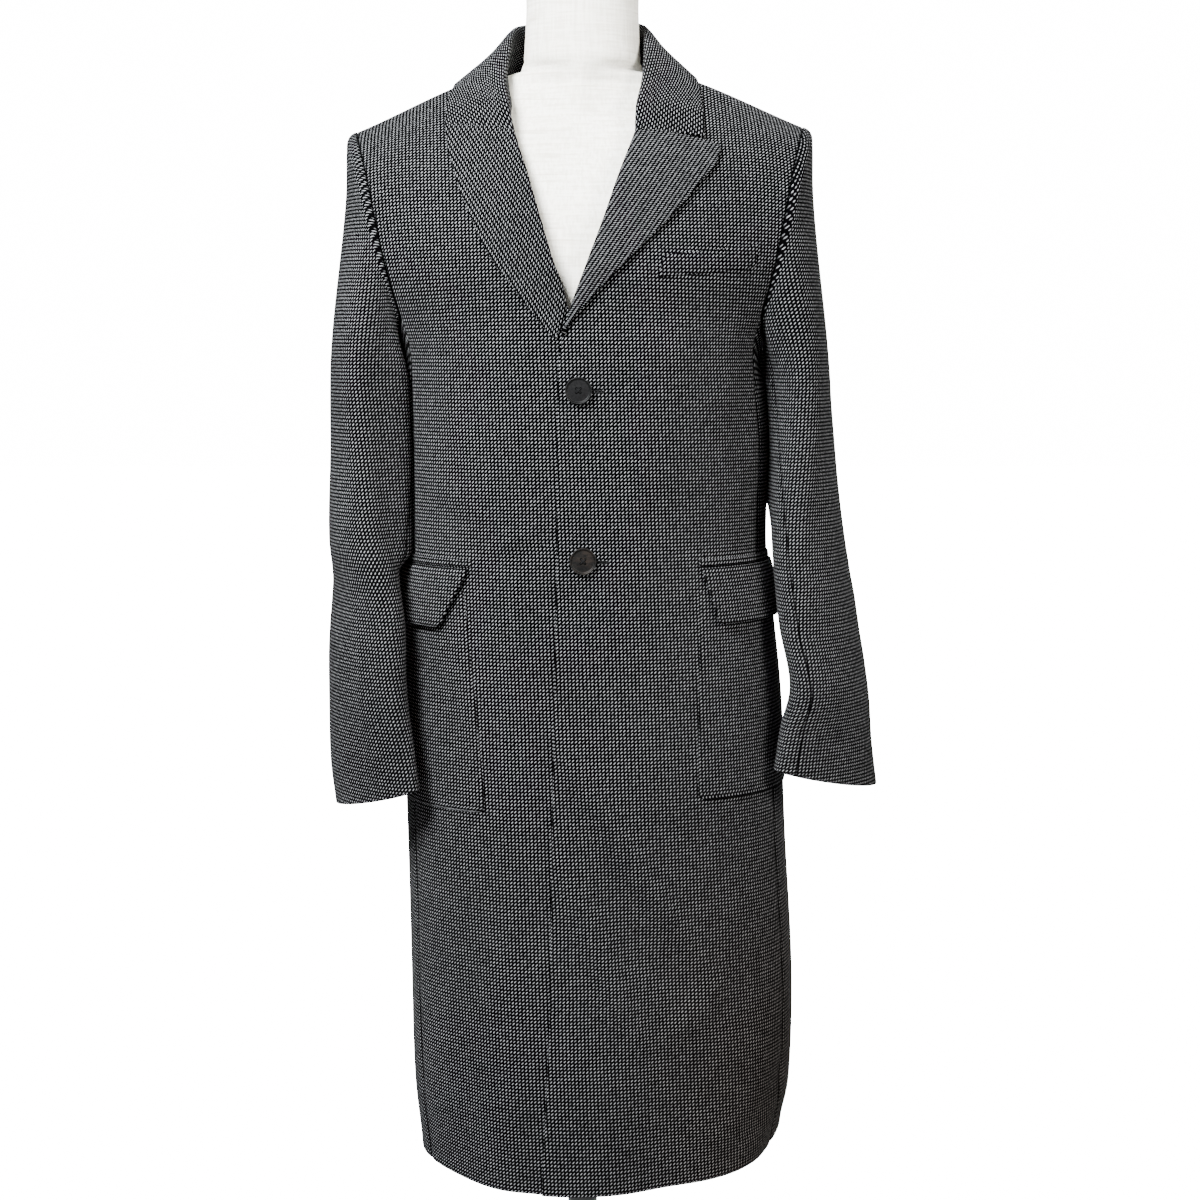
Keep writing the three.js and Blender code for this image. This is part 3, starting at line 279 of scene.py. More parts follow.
# The same for the sleeves, in (degrees round the sleeve, height): 0 outside, 90 in front.
sleeveCreases = {
    "left": [
        ([(100, 985), (60, 960), (20, 940)], 2.0, 10),
        ([(120, 950), (80, 920), (40, 905)], -1.8, 9),
        ([(70, 1210), (62, 1120), (70, 1030)], 2.2, 12),
        ([(40, 1180), (38, 1080), (46, 1000)], -1.8, 12),
        ([(95, 900), (88, 840), (84, 790)], 1.8, 10),
        ([(250, 1000), (280, 960), (320, 940)], 2.0, 12),
        ([(240, 950), (280, 915), (310, 905)], -2.0, 11),
    ],
    "right": [
        ([(28, 960), (33, 860), (36, 760)], 1.8, 7),
        ([(100, 1000), (60, 970), (20, 955)], 2.0, 10),
        ([(110, 965), (75, 935), (40, 915)], -1.8, 9),
        ([(75, 1200), (70, 1110), (84, 1020)], 2.0, 12),
        ([(40, 1170), (44, 1080), (52, 1000)], -1.8, 12),
        ([(250, 1000), (280, 960), (320, 940)], 2.0, 12),
        ([(240, 950), (280, 915), (310, 905)], -2.0, 11),
    ],
}

buttons = {
    "radius": 12.5,
    "thick": 4.2,
    "upper": {"x": -2, "z": 1146},
    "lower": {"x": 2, "z": 987},
    "holeX": 24,
    # shares of the radius by which the face is drawn in, and how far it moves after each
    "steps": [(0.08, 0), (0.08, -1.5), (0.06, 0), (0.4, 0.3)],
    "holeStep": 1.9,
    "holeRadius": 1.25,
    "strand": {"radius": 0.7, "length": 6.2, "bow": 0.8, "sunk": 1.4},
    "shank": {"radius": 1.7, "high": 2.2, "z": -0.9},
    "standOff": 1.4,
}

dressForm = {
    # z, left, right, front, back, middle, power
    "rows": [
        (640, 150, 150, -92, 98, 8, 2.3), (646, 158, 158, -100, 106, 8, 2.3),
        (700, 163, 163, -106, 111, 8, 2.3),
        (780, 162, 162, -106, 110, 8, 2.3), (880, 150, 150, -99, 98, 8, 2.2),
        (980, 140, 140, -94, 88, 8, 2.2),
        (1060, 142, 142, -97, 86, 8, 2.2), (1140, 150, 150, -102, 90, 8, 2.2),
        (1200, 157, 157, -104, 94, 8, 2.2),
        (1260, 164, 164, -98, 96, 8, 2.2), (1310, 171, 171, -87, 95, 6, 2.1),
        (1350, 179, 180, -74, 88, 4, 2),
        (1378, 185, 186, -64, 80, 3, 1.8), (1396, 187, 187, -57, 74, 2, 1.6),
    ],
    "neck": [
        (1452, 60.5, 59, -47, 57, 2, 1.5), (1461, 58, 56.5, -49, 58, 3, 2),
        (1480, 56.5, 55, -48, 57, 4, 2),
        (1510, 55.5, 53.5, -47, 56, 4, 2), (1530, 55, 53, -46.5, 55.5, 4, 2),
        (1536, 51, 49, -42.5, 51.5, 4, 2),
    ],
    "shoulderHeights": (1408, 1416, 1424, 1432, 1440),
    "shoulderFront": (-53, -43),
    "shoulderBack": (67, 51),
    "shoulderPower": (1.3, 0.94),
    "shoulderMiddle": 1,
    "shoulderRound": 186,
    "shoulderKnot": 1485,
    "slopeShare": 1.08,
    "restGap": 0.6,
}

stand = {"poleRadius": 15, "poleLow": 44.6, "poleHigh": 639.7, "baseRadius": 200, "baseThick": 10,
         "hubRadius": 34, "collarWide": 6, "rise": 1.5, "cone": 4.5, "collarHigh": 28}


def lerp(a, b, t):
    return a + (b - a) * t


def ease(t):
    s = np.clip(t, 0, 1)
    return s * s * (3 - 2 * s)


def cubic(p0, p1, m0, m1, t, span):
    t2 = t * t
    t3 = t2 * t
    return ((2 * t3 - 3 * t2 + 1) * p0 + (t3 - 2 * t2 + t) * span * m0
            + (3 * t2 - 2 * t3) * p1 + (t3 - t2) * span * m1)


# Smooth values between the rows of a table, whose first column is the key.
def smoothTable(rows):
    data = np.array(rows, float)
    keys, values = data[:, 0], data[:, 1:]
    count = len(keys)
    low = np.maximum(np.arange(count) - 1, 0)
    high = np.minimum(np.arange(count) + 1, count - 1)
    slopes = (values[high] - values[low]) / (keys[high] - keys[low])[:, None]

    def at(x):
        x = np.asarray(x, float)
        i = np.searchsorted(keys[1:-1], x, side="left")
        span = keys[i + 1] - keys[i]
        t = np.clip((x - keys[i]) / span, 0, 1)[..., None]
        return cubic(values[i], values[i + 1], slopes[i], slopes[i + 1], t, span[..., None])

    return at


# The columns of a table between its rows, in straight steps.
def readBetween(at, keys, table):
    return np.stack([np.interp(at, keys, table[:, k]) for k in range(table.shape[1])], axis=-1)


# Halves the way from low to high again and again, where isLow says which half is kept.
def bisect(low, high, isLow, steps):
    for _ in range(steps):
        mid = (low + high) / 2
        below = isLow(mid)
        low, high = np.where(below, mid, low), np.where(below, high, mid)
    return low, high


def bezier(a, b, c, d, t):
    t = np.asarray(t, float)[..., None]
    s = 1 - t
    return s * s * s * a + 3 * s * s * t * b + 3 * s * t * t * c + t * t * t * d


def point(x, y, z):
    x, y, z = np.broadcast_arrays(x, y, z)
    return np.stack([x, y, z], axis=-1).astype(float)


def unit(v):
    return v / np.maximum(np.linalg.norm(v, axis=-1, keepdims=True), 1e-9)


sectionAt = smoothTable(body["sections"])
hemRiseAt = smoothTable(body["hemRise"])
closingAt = smoothTable(closingEdge)


# Point of the coat's girth: around is 0 in front, 1 and -1 at the sides, 2 and -2 behind.
def girth(z, around):
    z, around = np.broadcast_arrays(np.asarray(z, float), np.asarray(around, float))
    right, left, front, back, middle = np.moveaxis(sectionAt(z), -1, 0)
    share = np.abs(around)
    edge = np.where(around < 0, left, right)
    reach = edge - middle
    isFront = share <= 1
    end = np.where(isFront, front, back)
    deep = body["sideDepth"]
    full = body["fullness"]
    p = bezier(point(middle, end, z), point(middle + reach * full, end, z),
               point(edge, lerp(deep, end, full), z), point(edge, deep, z),
               np.where(isFront, share, 2 - share))
    push = 0
    for at, depth, width, top in body["folds"]:
        down = ease((top - z) / (top - body["hem"]))
        push = push + depth * np.exp(-(((around - at) / width) ** 2)) * down
    inward = unit(point(middle, deep, z) - p)
    return p + inward * np.asarray(push)[..., None]


# X of the body's side at a given depth.
def sideX(z, y, side):
    low, _ = bisect(np.full(y.shape, 0.3), np.full(y.shape, 1.7),
                    lambda mid: girth(z, side * mid)[..., 1] < y, 24)
    return girth(z, side * low)[..., 0]


def aroundAtX(z, x):
    low, high = bisect(-1.0, 1.0, lambda mid: girth(z, mid)[0] < x, 30)
    return (low + high) / 2


def armholePoint(name, side):
    x, y, z = armhole[name]
    if side > 0:
        return np.array([x, y, z], float)
    up = (z - shoulder["underarm"]) / (shoulder["tip"] - shoulder["underarm"])
    return np.array([-x - shoulder["reach"] * up, y, z - shoulder["drop"] * up], float)


def armRow(start, outer, turn, rise, outerPull, innerPull, side, depthSign):
    end = armholePoint(outer, side)
    angle = math.radians(turn)
    inward = unit(np.array([-math.cos(angle) * side, math.sin(angle) * depthSign, rise]))
    startHandle = start + np.array([innerPull * side, 0, rise * -0.5 * innerPull])
    endHandle = end + inward * outerPull
    return lambda w: bezier(start, startHandle, endHandle, end, w)


def lowerRow(knot, fromAround, toAround):
    def curve(w):
        around = lerp(fromAround, toAround, np.asarray(w, float))
        p = girth(knot, around)
        if knot <= body["hem"]:
            p[..., 2] += hemRiseAt(around)[..., 0]
        return p
    return curve


def frontStart(row, side):
    return np.array([row[1] if side > 0 else row[2], row[3], row[4] if side > 0 else row[5]], float)


def frontArmRow(row, side):
    return row[0], armRow(frontStart(row, side), *row[6:], side, -1)


def backArmRow(row, side):
    return row[0], armRow(np.array(row[1:4], float), *row[4:], side, 1)


def shifted(curve, offset):
    return lambda w: curve(w) + np.array(offset, float)


def backTopRow(side):
    top = rollRows[-1]
    neckPoint = frontStart(top, side)
    seam = armRow(neckPoint, *top[6:], side, 1)
    share = neck["share"]

    def curve(w):
        w = np.asarray(w, float)
        near, far = (np.array([side * x, y, z], float) for x, y, z in neck["handles"])
        line = bezier(np.array(neck["back"], float), near, far, neckPoint, np.clip(w / share, None, 1))
        return np.where((w >= share)[..., None], seam((w - share) / (1 - share)), line)
    return top[0], curve


# rows past the cloth's own ends, which only give the lofts their slopes there
loftStart, loftEnd = 300, 1536


def frontRowsOf(side):
    edge = 0 if side > 0 else 1
    lower = [(k, lowerRow(k, aroundAtX(k, closingAt(k)[edge]), side * body["frontSeam"]))
             for k in body["knots"]]
    upper = [frontArmRow(row, side) for row in rollRows]
    backTop = backArmRow(backRows[-1], side)[1]
    before = (loftStart, shifted(lower[0][1], (0, 0, loftStart - body["hem"])))
    after = (loftEnd, lambda w: backTop(lerp(neck["share"], 1, np.asarray(w, float))))
    return [before, *lower, *upper, after]


def backRowsOf(side):
    lower = [(k, lowerRow(k, side * 2, side * (2 - body["backSeam"]))) for k in body["knots"]]
    upper = [backArmRow(row, side) for row in backRows]
    frontTop = frontArmRow(rollRows[-2], side)[1]
    topKnot, topCurve = backTopRow(side)
    share = neck["share"]

    def past(w):
        w = np.asarray(w, float)
        over = topCurve(w) + np.array([0, -8, 14.0])
        return np.where((w >= share)[..., None], frontTop((w - share) / (1 - share)), over)
    before = (loftStart, shifted(lower[0][1], (0, 0, loftStart - body["hem"])))
    return [before, *lower, *upper, (topKnot, topCurve), (loftEnd, past)]


# Points of the surface through the rows, over a grid of shares w across and knots up it.
def loft(rows, ws, knots):
    curves = np.stack([curve(ws) for _, curve in rows])
    at = np.array([knot for knot, _ in rows], float)
    i = 1 + np.searchsorted(at[2:-2], knots, side="left")
    slopes = (curves[2:] - curves[:-2]) / (at[2:] - at[:-2])[:, None, None]
    span = (at[i + 1] - at[i])[:, None, None]
    t = ((knots - at[i])[:, None, None]) / span
    return cubic(curves[i], curves[i + 1], slopes[i - 1], slopes[i], t, span)


# Centripetal curve through points, open or closed, at shares t of its segments.
def throughPoints(points, t, closed=False):
    points = np.array(points, float)
    count = len(points)
    if closed:
        padded = np.concatenate([points[-1:], points, points[:2]])
        segments = count
    else:
        padded = np.concatenate([2 * points[:1] - points[1:2], points, 2 * points[-1:] - points[-2:-1]])
        segments = count - 1
    t = np.asarray(t, float)
    place = np.clip(t * segments, 0, segments)
    i = np.minimum(place.astype(int), segments - 1)
    x0, x1, x2, x3 = (padded[i + k] for k in range(4))

    def pace(a, b):
        return np.maximum(np.sum((a - b) ** 2, axis=-1) ** 0.25, 1e-4)[..., None]
    d0, d1, d2 = pace(x0, x1), pace(x1, x2), pace(x2, x3)
    m0 = ((x1 - x0) / d0 - (x2 - x0) / (d0 + d1) + (x2 - x1) / d1) * d1
    m1 = ((x2 - x1) / d1 - (x3 - x1) / (d1 + d2) + (x3 - x2) / d2) * d1
    return cubic(x1, x2, m0, m1, (place - i)[..., None], 1)


def arcLengths(points, axis):
    steps = np.linalg.norm(np.diff(points[..., :3], axis=axis), axis=-1)
    total = np.cumsum(steps, axis=axis)
    pad = [(0, 0)] * steps.ndim
    pad[axis] = (1, 0)
    return np.pad(total, pad)


def gridNormals(points):
    across = np.gradient(points, axis=1)
    along = np.gradient(points, axis=0)
    return unit(np.cross(across, along))


# How far the creases push a point out, where s runs round the cloth and z up it, both in mm.
def creasePush(creases, s, z, perDegree):
    push = np.zeros_like(s)
    for spots, deep, wide in creases:
        line = np.array([(a * perDegree, h) for a, h in spots], float)
        lengths = np.linalg.norm(np.diff(line, axis=0), axis=1)
        total = lengths.sum()
        done = 0
        nearest = np.full(s.shape, 1e9)
        where = np.zeros_like(s)
        for k in range(len(line) - 1):
            a, b = line[k], line[k + 1]
            d = b - a
            t = np.clip(((s - a[0]) * d[0] + (z - a[1]) * d[1]) / (d @ d), 0, 1)
            away = np.hypot(s - a[0] - t * d[0], z - a[1] - t * d[1])
            closer = away < nearest
            nearest = np.where(closer, away, nearest)
            where = np.where(closer, (done + t * lengths[k]) / total, where)
            done += lengths[k]
        swell = np.sin(np.pi * np.clip(0.08 + 0.84 * where, 0, 1)) ** 0.8
        push += deep * swell * np.exp(-((nearest / (wide * (0.75 + 0.5 * swell))) ** 2))
    return push


# Slow, small unevenness of worn cloth, from a few fixed waves.
def settle(s, z):
    return (0.35 * np.sin(s / 31 + z / 83 + 0.7) + 0.3 * np.sin(s / 53 - z / 47 + 2.1)
            + 0.2 * np.sin(s / 17 + z / 129 + 4.0))


axisX, axisY = 3, 8
bodyPerDegree = 3.05
sleevePerDegree = 0.9


def creaseBody(p):
    z = p[..., 2]
    angle = np.degrees(np.arctan2(p[..., 0] - axisX, axisY - p[..., 1]))
    push = settle(np.abs(angle) * bodyPerDegree, z)
    for turn in (-360, 0, 360):
        push += creasePush(bodyCreases, (angle + turn) * bodyPerDegree, z, bodyPerDegree)
    # it dies out towards the shoulder and the armhole, where the sleeve is set in
    push *= ease((1400 - z) / 80) * (1 - ease((z - 1120) / 55) * ease((np.abs(p[..., 0]) - 125) / 35))
    out = unit(np.stack([p[..., 0] - axisX, p[..., 1] - axisY, np.zeros_like(z)], axis=-1))
    return p + out * push[..., None]


class Panel:
    # A panel's outer face over a fine grid of (w, knot), and its values anywhere on it.
    def __init__(self, points, ws, knots, outward):
        self.ws, self.knots = ws, knots
        self.points = points
        self.normals = gridNormals(points)
        middle = self.normals[len(knots) // 2, len(ws) // 2]
        if middle @ np.array(outward, float) < 0:
            self.normals = -self.normals
        self.values = np.concatenate([points, self.normals], axis=-1)

    def at(self, w, knot):
        w, knot = np.broadcast_arrays(np.asarray(w, float), np.asarray(knot, float))
        x = (w - self.ws[0]) / (self.ws[1] - self.ws[0])
        y = (knot - self.knots[0]) / (self.knots[1] - self.knots[0])
        i = np.clip(x.astype(int), 0, len(self.ws) - 2)
        j = np.clip(y.astype(int), 0, len(self.knots) - 2)
        u, v = (x - i)[..., None], (y - j)[..., None]
        g = self.values
        return ((g[j, i] * (1 - u) + g[j, i + 1] * u) * (1 - v)
                + (g[j + 1, i] * (1 - u) + g[j + 1, i + 1] * u) * v)

    # The place on the panel that has a given X and Z.
    def locate(self, x, z, startW=0.5):
        w, knot = startW, float(z)
        for _ in range(25):
            p = self.at(w, knot)
            byW = (self.at(w + 0.002, knot) - p) / 0.002
            byKnot = (self.at(w, knot + 1) - p) / 1
            det = byW[0] * byKnot[2] - byKnot[0] * byW[2]
            dx, dz = x - p[0], z - p[2]
            w = float(np.clip(w + (dx * byKnot[2] - byKnot[0] * dz) / det, -0.02, 1.02))
            knot = float(np.clip(knot + np.clip((byW[0] * dz - dx * byW[2]) / det, -40, 40), 374, 1486))
        return w, knot


fineW = np.linspace(-0.02, 1.02, 417)
fineKnots = np.linspace(body["hem"], 1488, 559)
sideTop = 1190
meshLow = 374
nearlyOne = 0.9992
panels = {}
leftRoll = smoothTable([(row[4], row[1]) for row in rollRows])

for name, side in wearerSides.items():
    frontRows, backRowList = frontRowsOf(side), backRowsOf(side)
    front = loft(frontRows, fineW, fineKnots)
    if side < 0:
        z = front[..., 2]
        roll = lerp(closingAt(1188)[0], leftRoll(z)[..., 0], ease((z - 1188) / 32))
        lapEdge = np.where(fineKnots[:, None] < 1188, closingAt(z)[..., 0], roll)
        blend = body["lapBlend"]
        front[..., 1] += body["lap"] * ease((front[..., 0] - lapEdge + blend) / (blend - 6))
    back = loft(backRowList, fineW, fineKnots)
    sideKnots = np.linspace(body["hem"], sideTop, 410)
    sideRows = [(k, lowerRow(k, side * body["frontSeam"], side * (2 - body["backSeam"])))
                for k in body["knots"][:-1]]
    rimPoints = [armholePoint(each, side) for each in ("front6", "under1", "under2", "under3", "back6")]

    def rimAt(w, points=rimPoints):
        w = np.asarray(w, float)
        inside = np.clip(w, 0, 1)
        p = throughPoints(points, inside)
        step = 1e-3
        tangent = unit(throughPoints(points, np.clip(inside + step, 0, 1))
                       - throughPoints(points, np.clip(inside - step, 0, 1)))
        length = np.linalg.norm(np.diff(throughPoints(points, np.linspace(0, 1, 201)), axis=0), axis=1).sum()
        return p + tangent * ((w - inside) * length)[..., None]
    sideAll = [(loftStart, shifted(sideRows[0][1], (0, 0, loftStart - body["hem"]))), *sideRows,
               (sideTop, rimAt), (sideTop + 50, shifted(rimAt, (3 * side, 0, 50)))]
    seamKnots = sideKnots + np.maximum(0, sideKnots - 1150) * 30 / 40
    sideGrid = loft(sideAll, fineW, sideKnots)
    edges = loft(sideAll, np.array([0.0, 1.0]), sideKnots)
    toFront = loft(frontRows, np.array([1.0]), seamKnots)[:, 0] - edges[:, 0]
    toBack = loft(backRowList, np.array([1.0]), seamKnots)[:, 0] - edges[:, 1]
    share = fineW[None, :, None]
    sideGrid = sideGrid + toFront[:, None] * (1 - share) + toBack[:, None] * share
    panels[name] = {
        "front": Panel(creaseBody(front), fineW, fineKnots, (0, -1, 0)),
        "back": Panel(creaseBody(back), fineW, fineKnots, (0, 1, 0)),
        "side": Panel(creaseBody(sideGrid), fineW, sideKnots, (side, 0, 0)),
    }
print("panels worked out")


# Resamples a grid of (rows, columns, values) along its columns: even steps of about spacing,
# with close ones at both ends where the cloth's edge is rounded.
def respace(grid, spacing, rounding):
    arc = arcLengths(grid, 1)
    ends = np.array([0, 0.1, 0.35, 0.75, 1.3]) * rounding
    longest = arc[:, -1].max()
    count = max(2, int(round((longest - 2 * (ends[-1] + 1)) / spacing)))
    rows = []
    for line, along in zip(grid, arc):
        length = along[-1]
        near = ends * min(1, length / (4 * ends[-1])) if ends[-1] > 0 else ends
        margin = near[-1] + min(1, length / 20)
        middle = np.linspace(margin, length - near[-1] - min(1, length / 20), count)
        at = np.concatenate([near, middle, length - near[::-1]])
        rows.append(np.concatenate([readBetween(at, along, line), at[:, None],
                                    (length - at)[:, None]], axis=1))
    return np.array(rows)


def newMesh(name, vertices, faces):
    mesh = bpy.data.meshes.new(name)
    mesh.from_pydata((np.asarray(vertices) * metre).tolist(), [], faces)
    mesh.polygons.foreach_set("use_smooth", np.ones(len(mesh.polygons), bool))
    return mesh


def newObject(name, data):
    obj = bpy.data.objects.new(name, data)
    bpy.context.scene.collection.objects.link(obj)
    return obj


def selectOnly(obj):
    bpy.ops.object.select_all(action="DESELECT")
    obj.select_set(True)
    bpy.context.view_layer.objects.active = obj


# Closed shell of cloth whose outer face is the grid. edges says how its first column, last column,
# first row and last row end: "free" is rounded all round, "seam" only outside, and "square" not at
# all. dips are the depths to which it is drawn in there. openFrom is the height above which the
# last column is an armhole, where it isn't drawn in.
def makeCloth(name, points, outward, uv, thick=2.4, spacing=4.5, dips=(0, 0, 0, 0),
              edges=("free", "free", "free", "free"), materials=(), soft=3.5, openFrom=None):
    normals = gridNormals(points)
    if np.sum(normals * np.asarray(outward, float), axis=-1).mean() < 0:
        normals = -normals
    grid = np.concatenate([points, normals, uv], axis=-1)
    rounding = thick / 2
    grid = respace(grid, spacing, rounding)
    grid = np.swapaxes(respace(np.swapaxes(grid, 0, 1), spacing, rounding), 0, 1)
    p, n, tex = grid[..., 0:3], unit(grid[..., 3:6]), grid[..., 6:8]
    away = [grid[..., 8], grid[..., 9], grid[..., 10], grid[..., 11]]
    r = rounding * 0.96
    insets = []
    for rounded in (("free", "seam"), ("free",)):
        nearest = np.minimum.reduce([e if kind in rounded else e + 99 for e, kind in zip(away, edges)])
        insets.append(np.where(nearest < r, r - np.sqrt(np.maximum(0, r * r - (r - nearest) ** 2)), 0))
    depths = [np.full(p.shape[:2], float(depth)) for depth in dips]
    if openFrom:
        depths[1] *= 1 - ease((p[..., 2] - openFrom) / 18)
    dip = sum(depth * np.exp(-((e / soft) ** 2)) for depth, e in zip(depths, away))
    outer = p - n * (insets[0] + dip)[..., None]
    inner = p - n * (thick - insets[1] + dip)[..., None]
    # painted shade: cloth is darkened where it meets other cloth or turns under, standing in for the shadow
    # there
    reach = {"seam": (1.4, 1), "free": (0.6, 0.5)}
    shade = sum(reach[kind][1] * np.exp(-((e / reach[kind][0]) ** 2))
                for e, kind in zip(away, edges) if kind in reach)
    rows, columns = p.shape[:2]
    half = rows * columns
    index = np.arange(half).reshape(rows, columns)
    a, b, c, d = index[:-1, :-1], index[:-1, 1:], index[1:, 1:], index[1:, :-1]
    faces = [np.stack([a, b, c, d], -1).reshape(-1, 4), np.stack([a, d, c, b], -1).reshape(-1, 4) + half]
    rim = np.concatenate([index[0, :-1], index[:-1, -1], index[-1, :0:-1], index[:0:-1, 0]])
    nextRim = np.roll(rim, -1)
    faces.append(np.stack([rim, rim + half, nextRim + half, nextRim], -1))
    faces = np.concatenate(faces)
    vertices = np.concatenate([outer.reshape(-1, 3), inner.reshape(-1, 3)])
    x = vertices[faces]
    volume = np.einsum("ij,ij->i", x[:, 0], np.cross(x[:, 1], x[:, 2])).sum() + np.einsum(
        "ij,ij->i", x[:, 0], np.cross(x[:, 2], x[:, 3])).sum()
    if volume < 0:
        faces = faces[:, ::-1]
    mesh = newMesh(name, vertices, faces.tolist())
    flat = tex.reshape(-1, 2)
    flat = np.concatenate([flat, flat]) * metre
    layer = mesh.uv_layers.new(name="clothUV")
    corner = np.empty(len(mesh.loops), np.int32)
    mesh.loops.foreach_get("vertex_index", corner)
    layer.data.foreach_set("uv", flat[corner].astype(np.float32).ravel())
    # the painted edge shade, for the outer and inner face alike
    shade = np.clip(np.concatenate([shade.ravel(), shade.ravel()]), 0, 1).astype(np.float32)
    mesh.attributes.new("paintedEdgeShade", "FLOAT", "POINT").data.foreach_set("value", shade)
    for material in materials:
        mesh.materials.append(material)
    if len(materials) > 1:
        inside = (faces.min(axis=1) >= half).astype(np.int32)
        mesh.polygons.foreach_set("material_index", inside)
    mesh.update()
    obj = newObject(name, mesh)
    wide, high = arcLengths(p, 1)[:, -1], arcLengths(p, 0)[-1]
    area = np.linalg.norm(np.cross(np.diff(p, axis=1)[:-1], np.diff(p, axis=0)[:, :-1]), axis=-1).sum()
    print(f"  {name}: {len(faces) * 2} triangles, {wide.max():.0f} x {high.max():.0f} mm,",
          f"area {area / 1e6:.4f} m2")
    return obj


# Materials

def newGroup(name, inputs, outputs):
    tree = bpy.data.node_groups.new(name, "ShaderNodeTree")
    for label, kind, value in inputs:
        socket = tree.interface.new_socket(name=label, in_out="INPUT", socket_type=kind)
        if value is not None:
            socket.default_value = value
    for label, kind in outputs:
        tree.interface.new_socket(name=label, in_out="OUTPUT", socket_type=kind)
    return tree, tree.nodes.new("NodeGroupInput"), tree.nodes.new("NodeGroupOutput")


def feed(tree, socket, value):
    if isinstance(value, (int, float, tuple, list)):
        socket.default_value = value
    else:
        tree.links.new(value, socket)


def fill(tree, node, inputs):
    for label, value in inputs.items():
        feed(tree, node.inputs[label], value)
    return node


def newNode(tree, kind, inputs):
    return fill(tree, tree.nodes.new(f"ShaderNode{kind}"), inputs)


def mathNode(tree, operation, *values):
    node = newNode(tree, "Math", dict(enumerate(values)))
    node.operation = operation
    return node.outputs[0]


def times(tree, a, b):
    return mathNode(tree, "MULTIPLY", a, b)


def plus(tree, a, b):
    return mathNode(tree, "ADD", a, b)


def minus(tree, a, b):
    return mathNode(tree, "SUBTRACT", a, b)


def mixColours(tree, factor, a, b):
    node = tree.nodes.new("ShaderNodeMix")
    node.data_type = "RGBA"
    return fill(tree, node, {0: factor, 6: (*a, 1) if isinstance(a, tuple) else a,
                             7: (*b, 1) if isinstance(b, tuple) else b}).outputs[2]


def rangeNode(tree, value, fromMin, fromMax, toMin, toMax, smooth=True):
    node = newNode(tree, "MapRange", dict(enumerate((value, fromMin, fromMax, toMin, toMax))))
    node.interpolation_type = "SMOOTHSTEP" if smooth else "LINEAR"
    return node.outputs[0]


def noiseNode(tree, vector, scale, detail=3, roughness=0.6):
    inputs = {"Vector": vector, "Scale": scale, "Detail": detail, "Roughness": roughness}
    return newNode(tree, "TexNoise", inputs).outputs["Fac"]


def stretched(tree, vector, scale):
    return newNode(tree, "Mapping", {"Vector": vector, "Scale": scale}).outputs[0]


def objectPlace(tree):
    return newNode(tree, "TexCoord", {}).outputs["Object"]


def clothPlace(tree):
    node = newNode(tree, "UVMap", {})
    node.uv_map = "clothUV"
    return node.outputs[0]


# Slanted dashes of pale yarn on a dark ground, in metres of cloth.
def makeDashGroup():
    tree, start, end = newGroup("yarnDashes", [
        ("Cloth", "NodeSocketVector", None),
        ("Unevenness", "NodeSocketFloat", 0.5),
    ], [("Dash", "NodeSocketFloat"), ("Yarn", "NodeSocketFloat"), ("Relief", "NodeSocketFloat")])
    spread = newNode(tree, "SeparateXYZ", {0: start.outputs["Cloth"]})
    across, down = weave["pitchAcross"], weave["pitchDown"]
    v = times(tree, spread.outputs["Y"], 1000 / down)
    row = mathNode(tree, "FLOOR", v)
    u = times(tree, spread.outputs["X"], 1000 / across)
    u = plus(tree, u, times(tree, row, weave["shiftPerRow"] / across))
    column = mathNode(tree, "FLOOR", u)
    cell = newNode(tree, "CombineXYZ", {0: column, 1: row})
    chance = newNode(tree, "TexWhiteNoise", {"Vector": cell.outputs[0]})
    chance.noise_dimensions = "2D"
    pick = newNode(tree, "SeparateColor", {0: chance.outputs["Color"]})
    dx = times(tree, minus(tree, minus(tree, u, column), 0.5), across)
    dy = times(tree, minus(tree, minus(tree, v, row), 0.5), down)
    dx = plus(tree, dx, rangeNode(tree, pick.outputs[1], 0, 1, -0.16, 0.16, False))
    dy = plus(tree, dy, rangeNode(tree, pick.outputs[2], 0, 1, -0.12, 0.12, False))
    slant = math.radians(weave["dashAngle"])
    cos, sin = math.cos(slant), math.sin(slant)
    along = plus(tree, times(tree, dx, cos), times(tree, dy, sin))
    aside = minus(tree, times(tree, dy, cos), times(tree, dx, sin))
    squares = [mathNode(tree, "POWER", mathNode(tree, "DIVIDE", way, half), 2)
               for way, half in ((along, weave["dashHalfLength"]), (aside, weave["dashHalfWidth"]))]
    far = mathNode(tree, "SQRT", plus(tree, *squares))
    worn = times(tree, pick.outputs[0], start.outputs["Unevenness"])
    fill(tree, end, {"Dash": rangeNode(tree, far, 1.12, 0.62, 0, 1), "Yarn": minus(tree, 1.12, worn),
                     "Relief": rangeNode(tree, far, 1.3, 0.1, 0, 1)})
    return tree


# Fine fibres and slow drift of tone, used by all the textiles.
def makeFibreGroup():
    tree, start, end = newGroup("fibreAndTone", [
        ("Place", "NodeSocketVector", None),
        ("Fibre Scale", "NodeSocketFloat", 900.0),
        ("Tone Scale", "NodeSocketFloat", 6.0),
    ], [("Fibre", "NodeSocketFloat"), ("Tone", "NodeSocketFloat")])
    for label, detail in (("Fibre", 2), ("Tone", 3)):
        inputs = {"Vector": start.outputs["Place"], "Scale": start.outputs[f"{label} Scale"],
                  "Detail": detail}
        fill(tree, end, {label: newNode(tree, "TexNoise", inputs).outputs["Fac"]})
    return tree


def newMaterial(name):
    material = bpy.data.materials.new(name)
    material.use_nodes = True
    tree = material.node_tree
    return material, tree, tree.nodes["Principled BSDF"]


def addGroup(tree, group, inputs):
    node = tree.nodes.new("ShaderNodeGroup")
    node.node_tree = group
    return fill(tree, node, inputs)


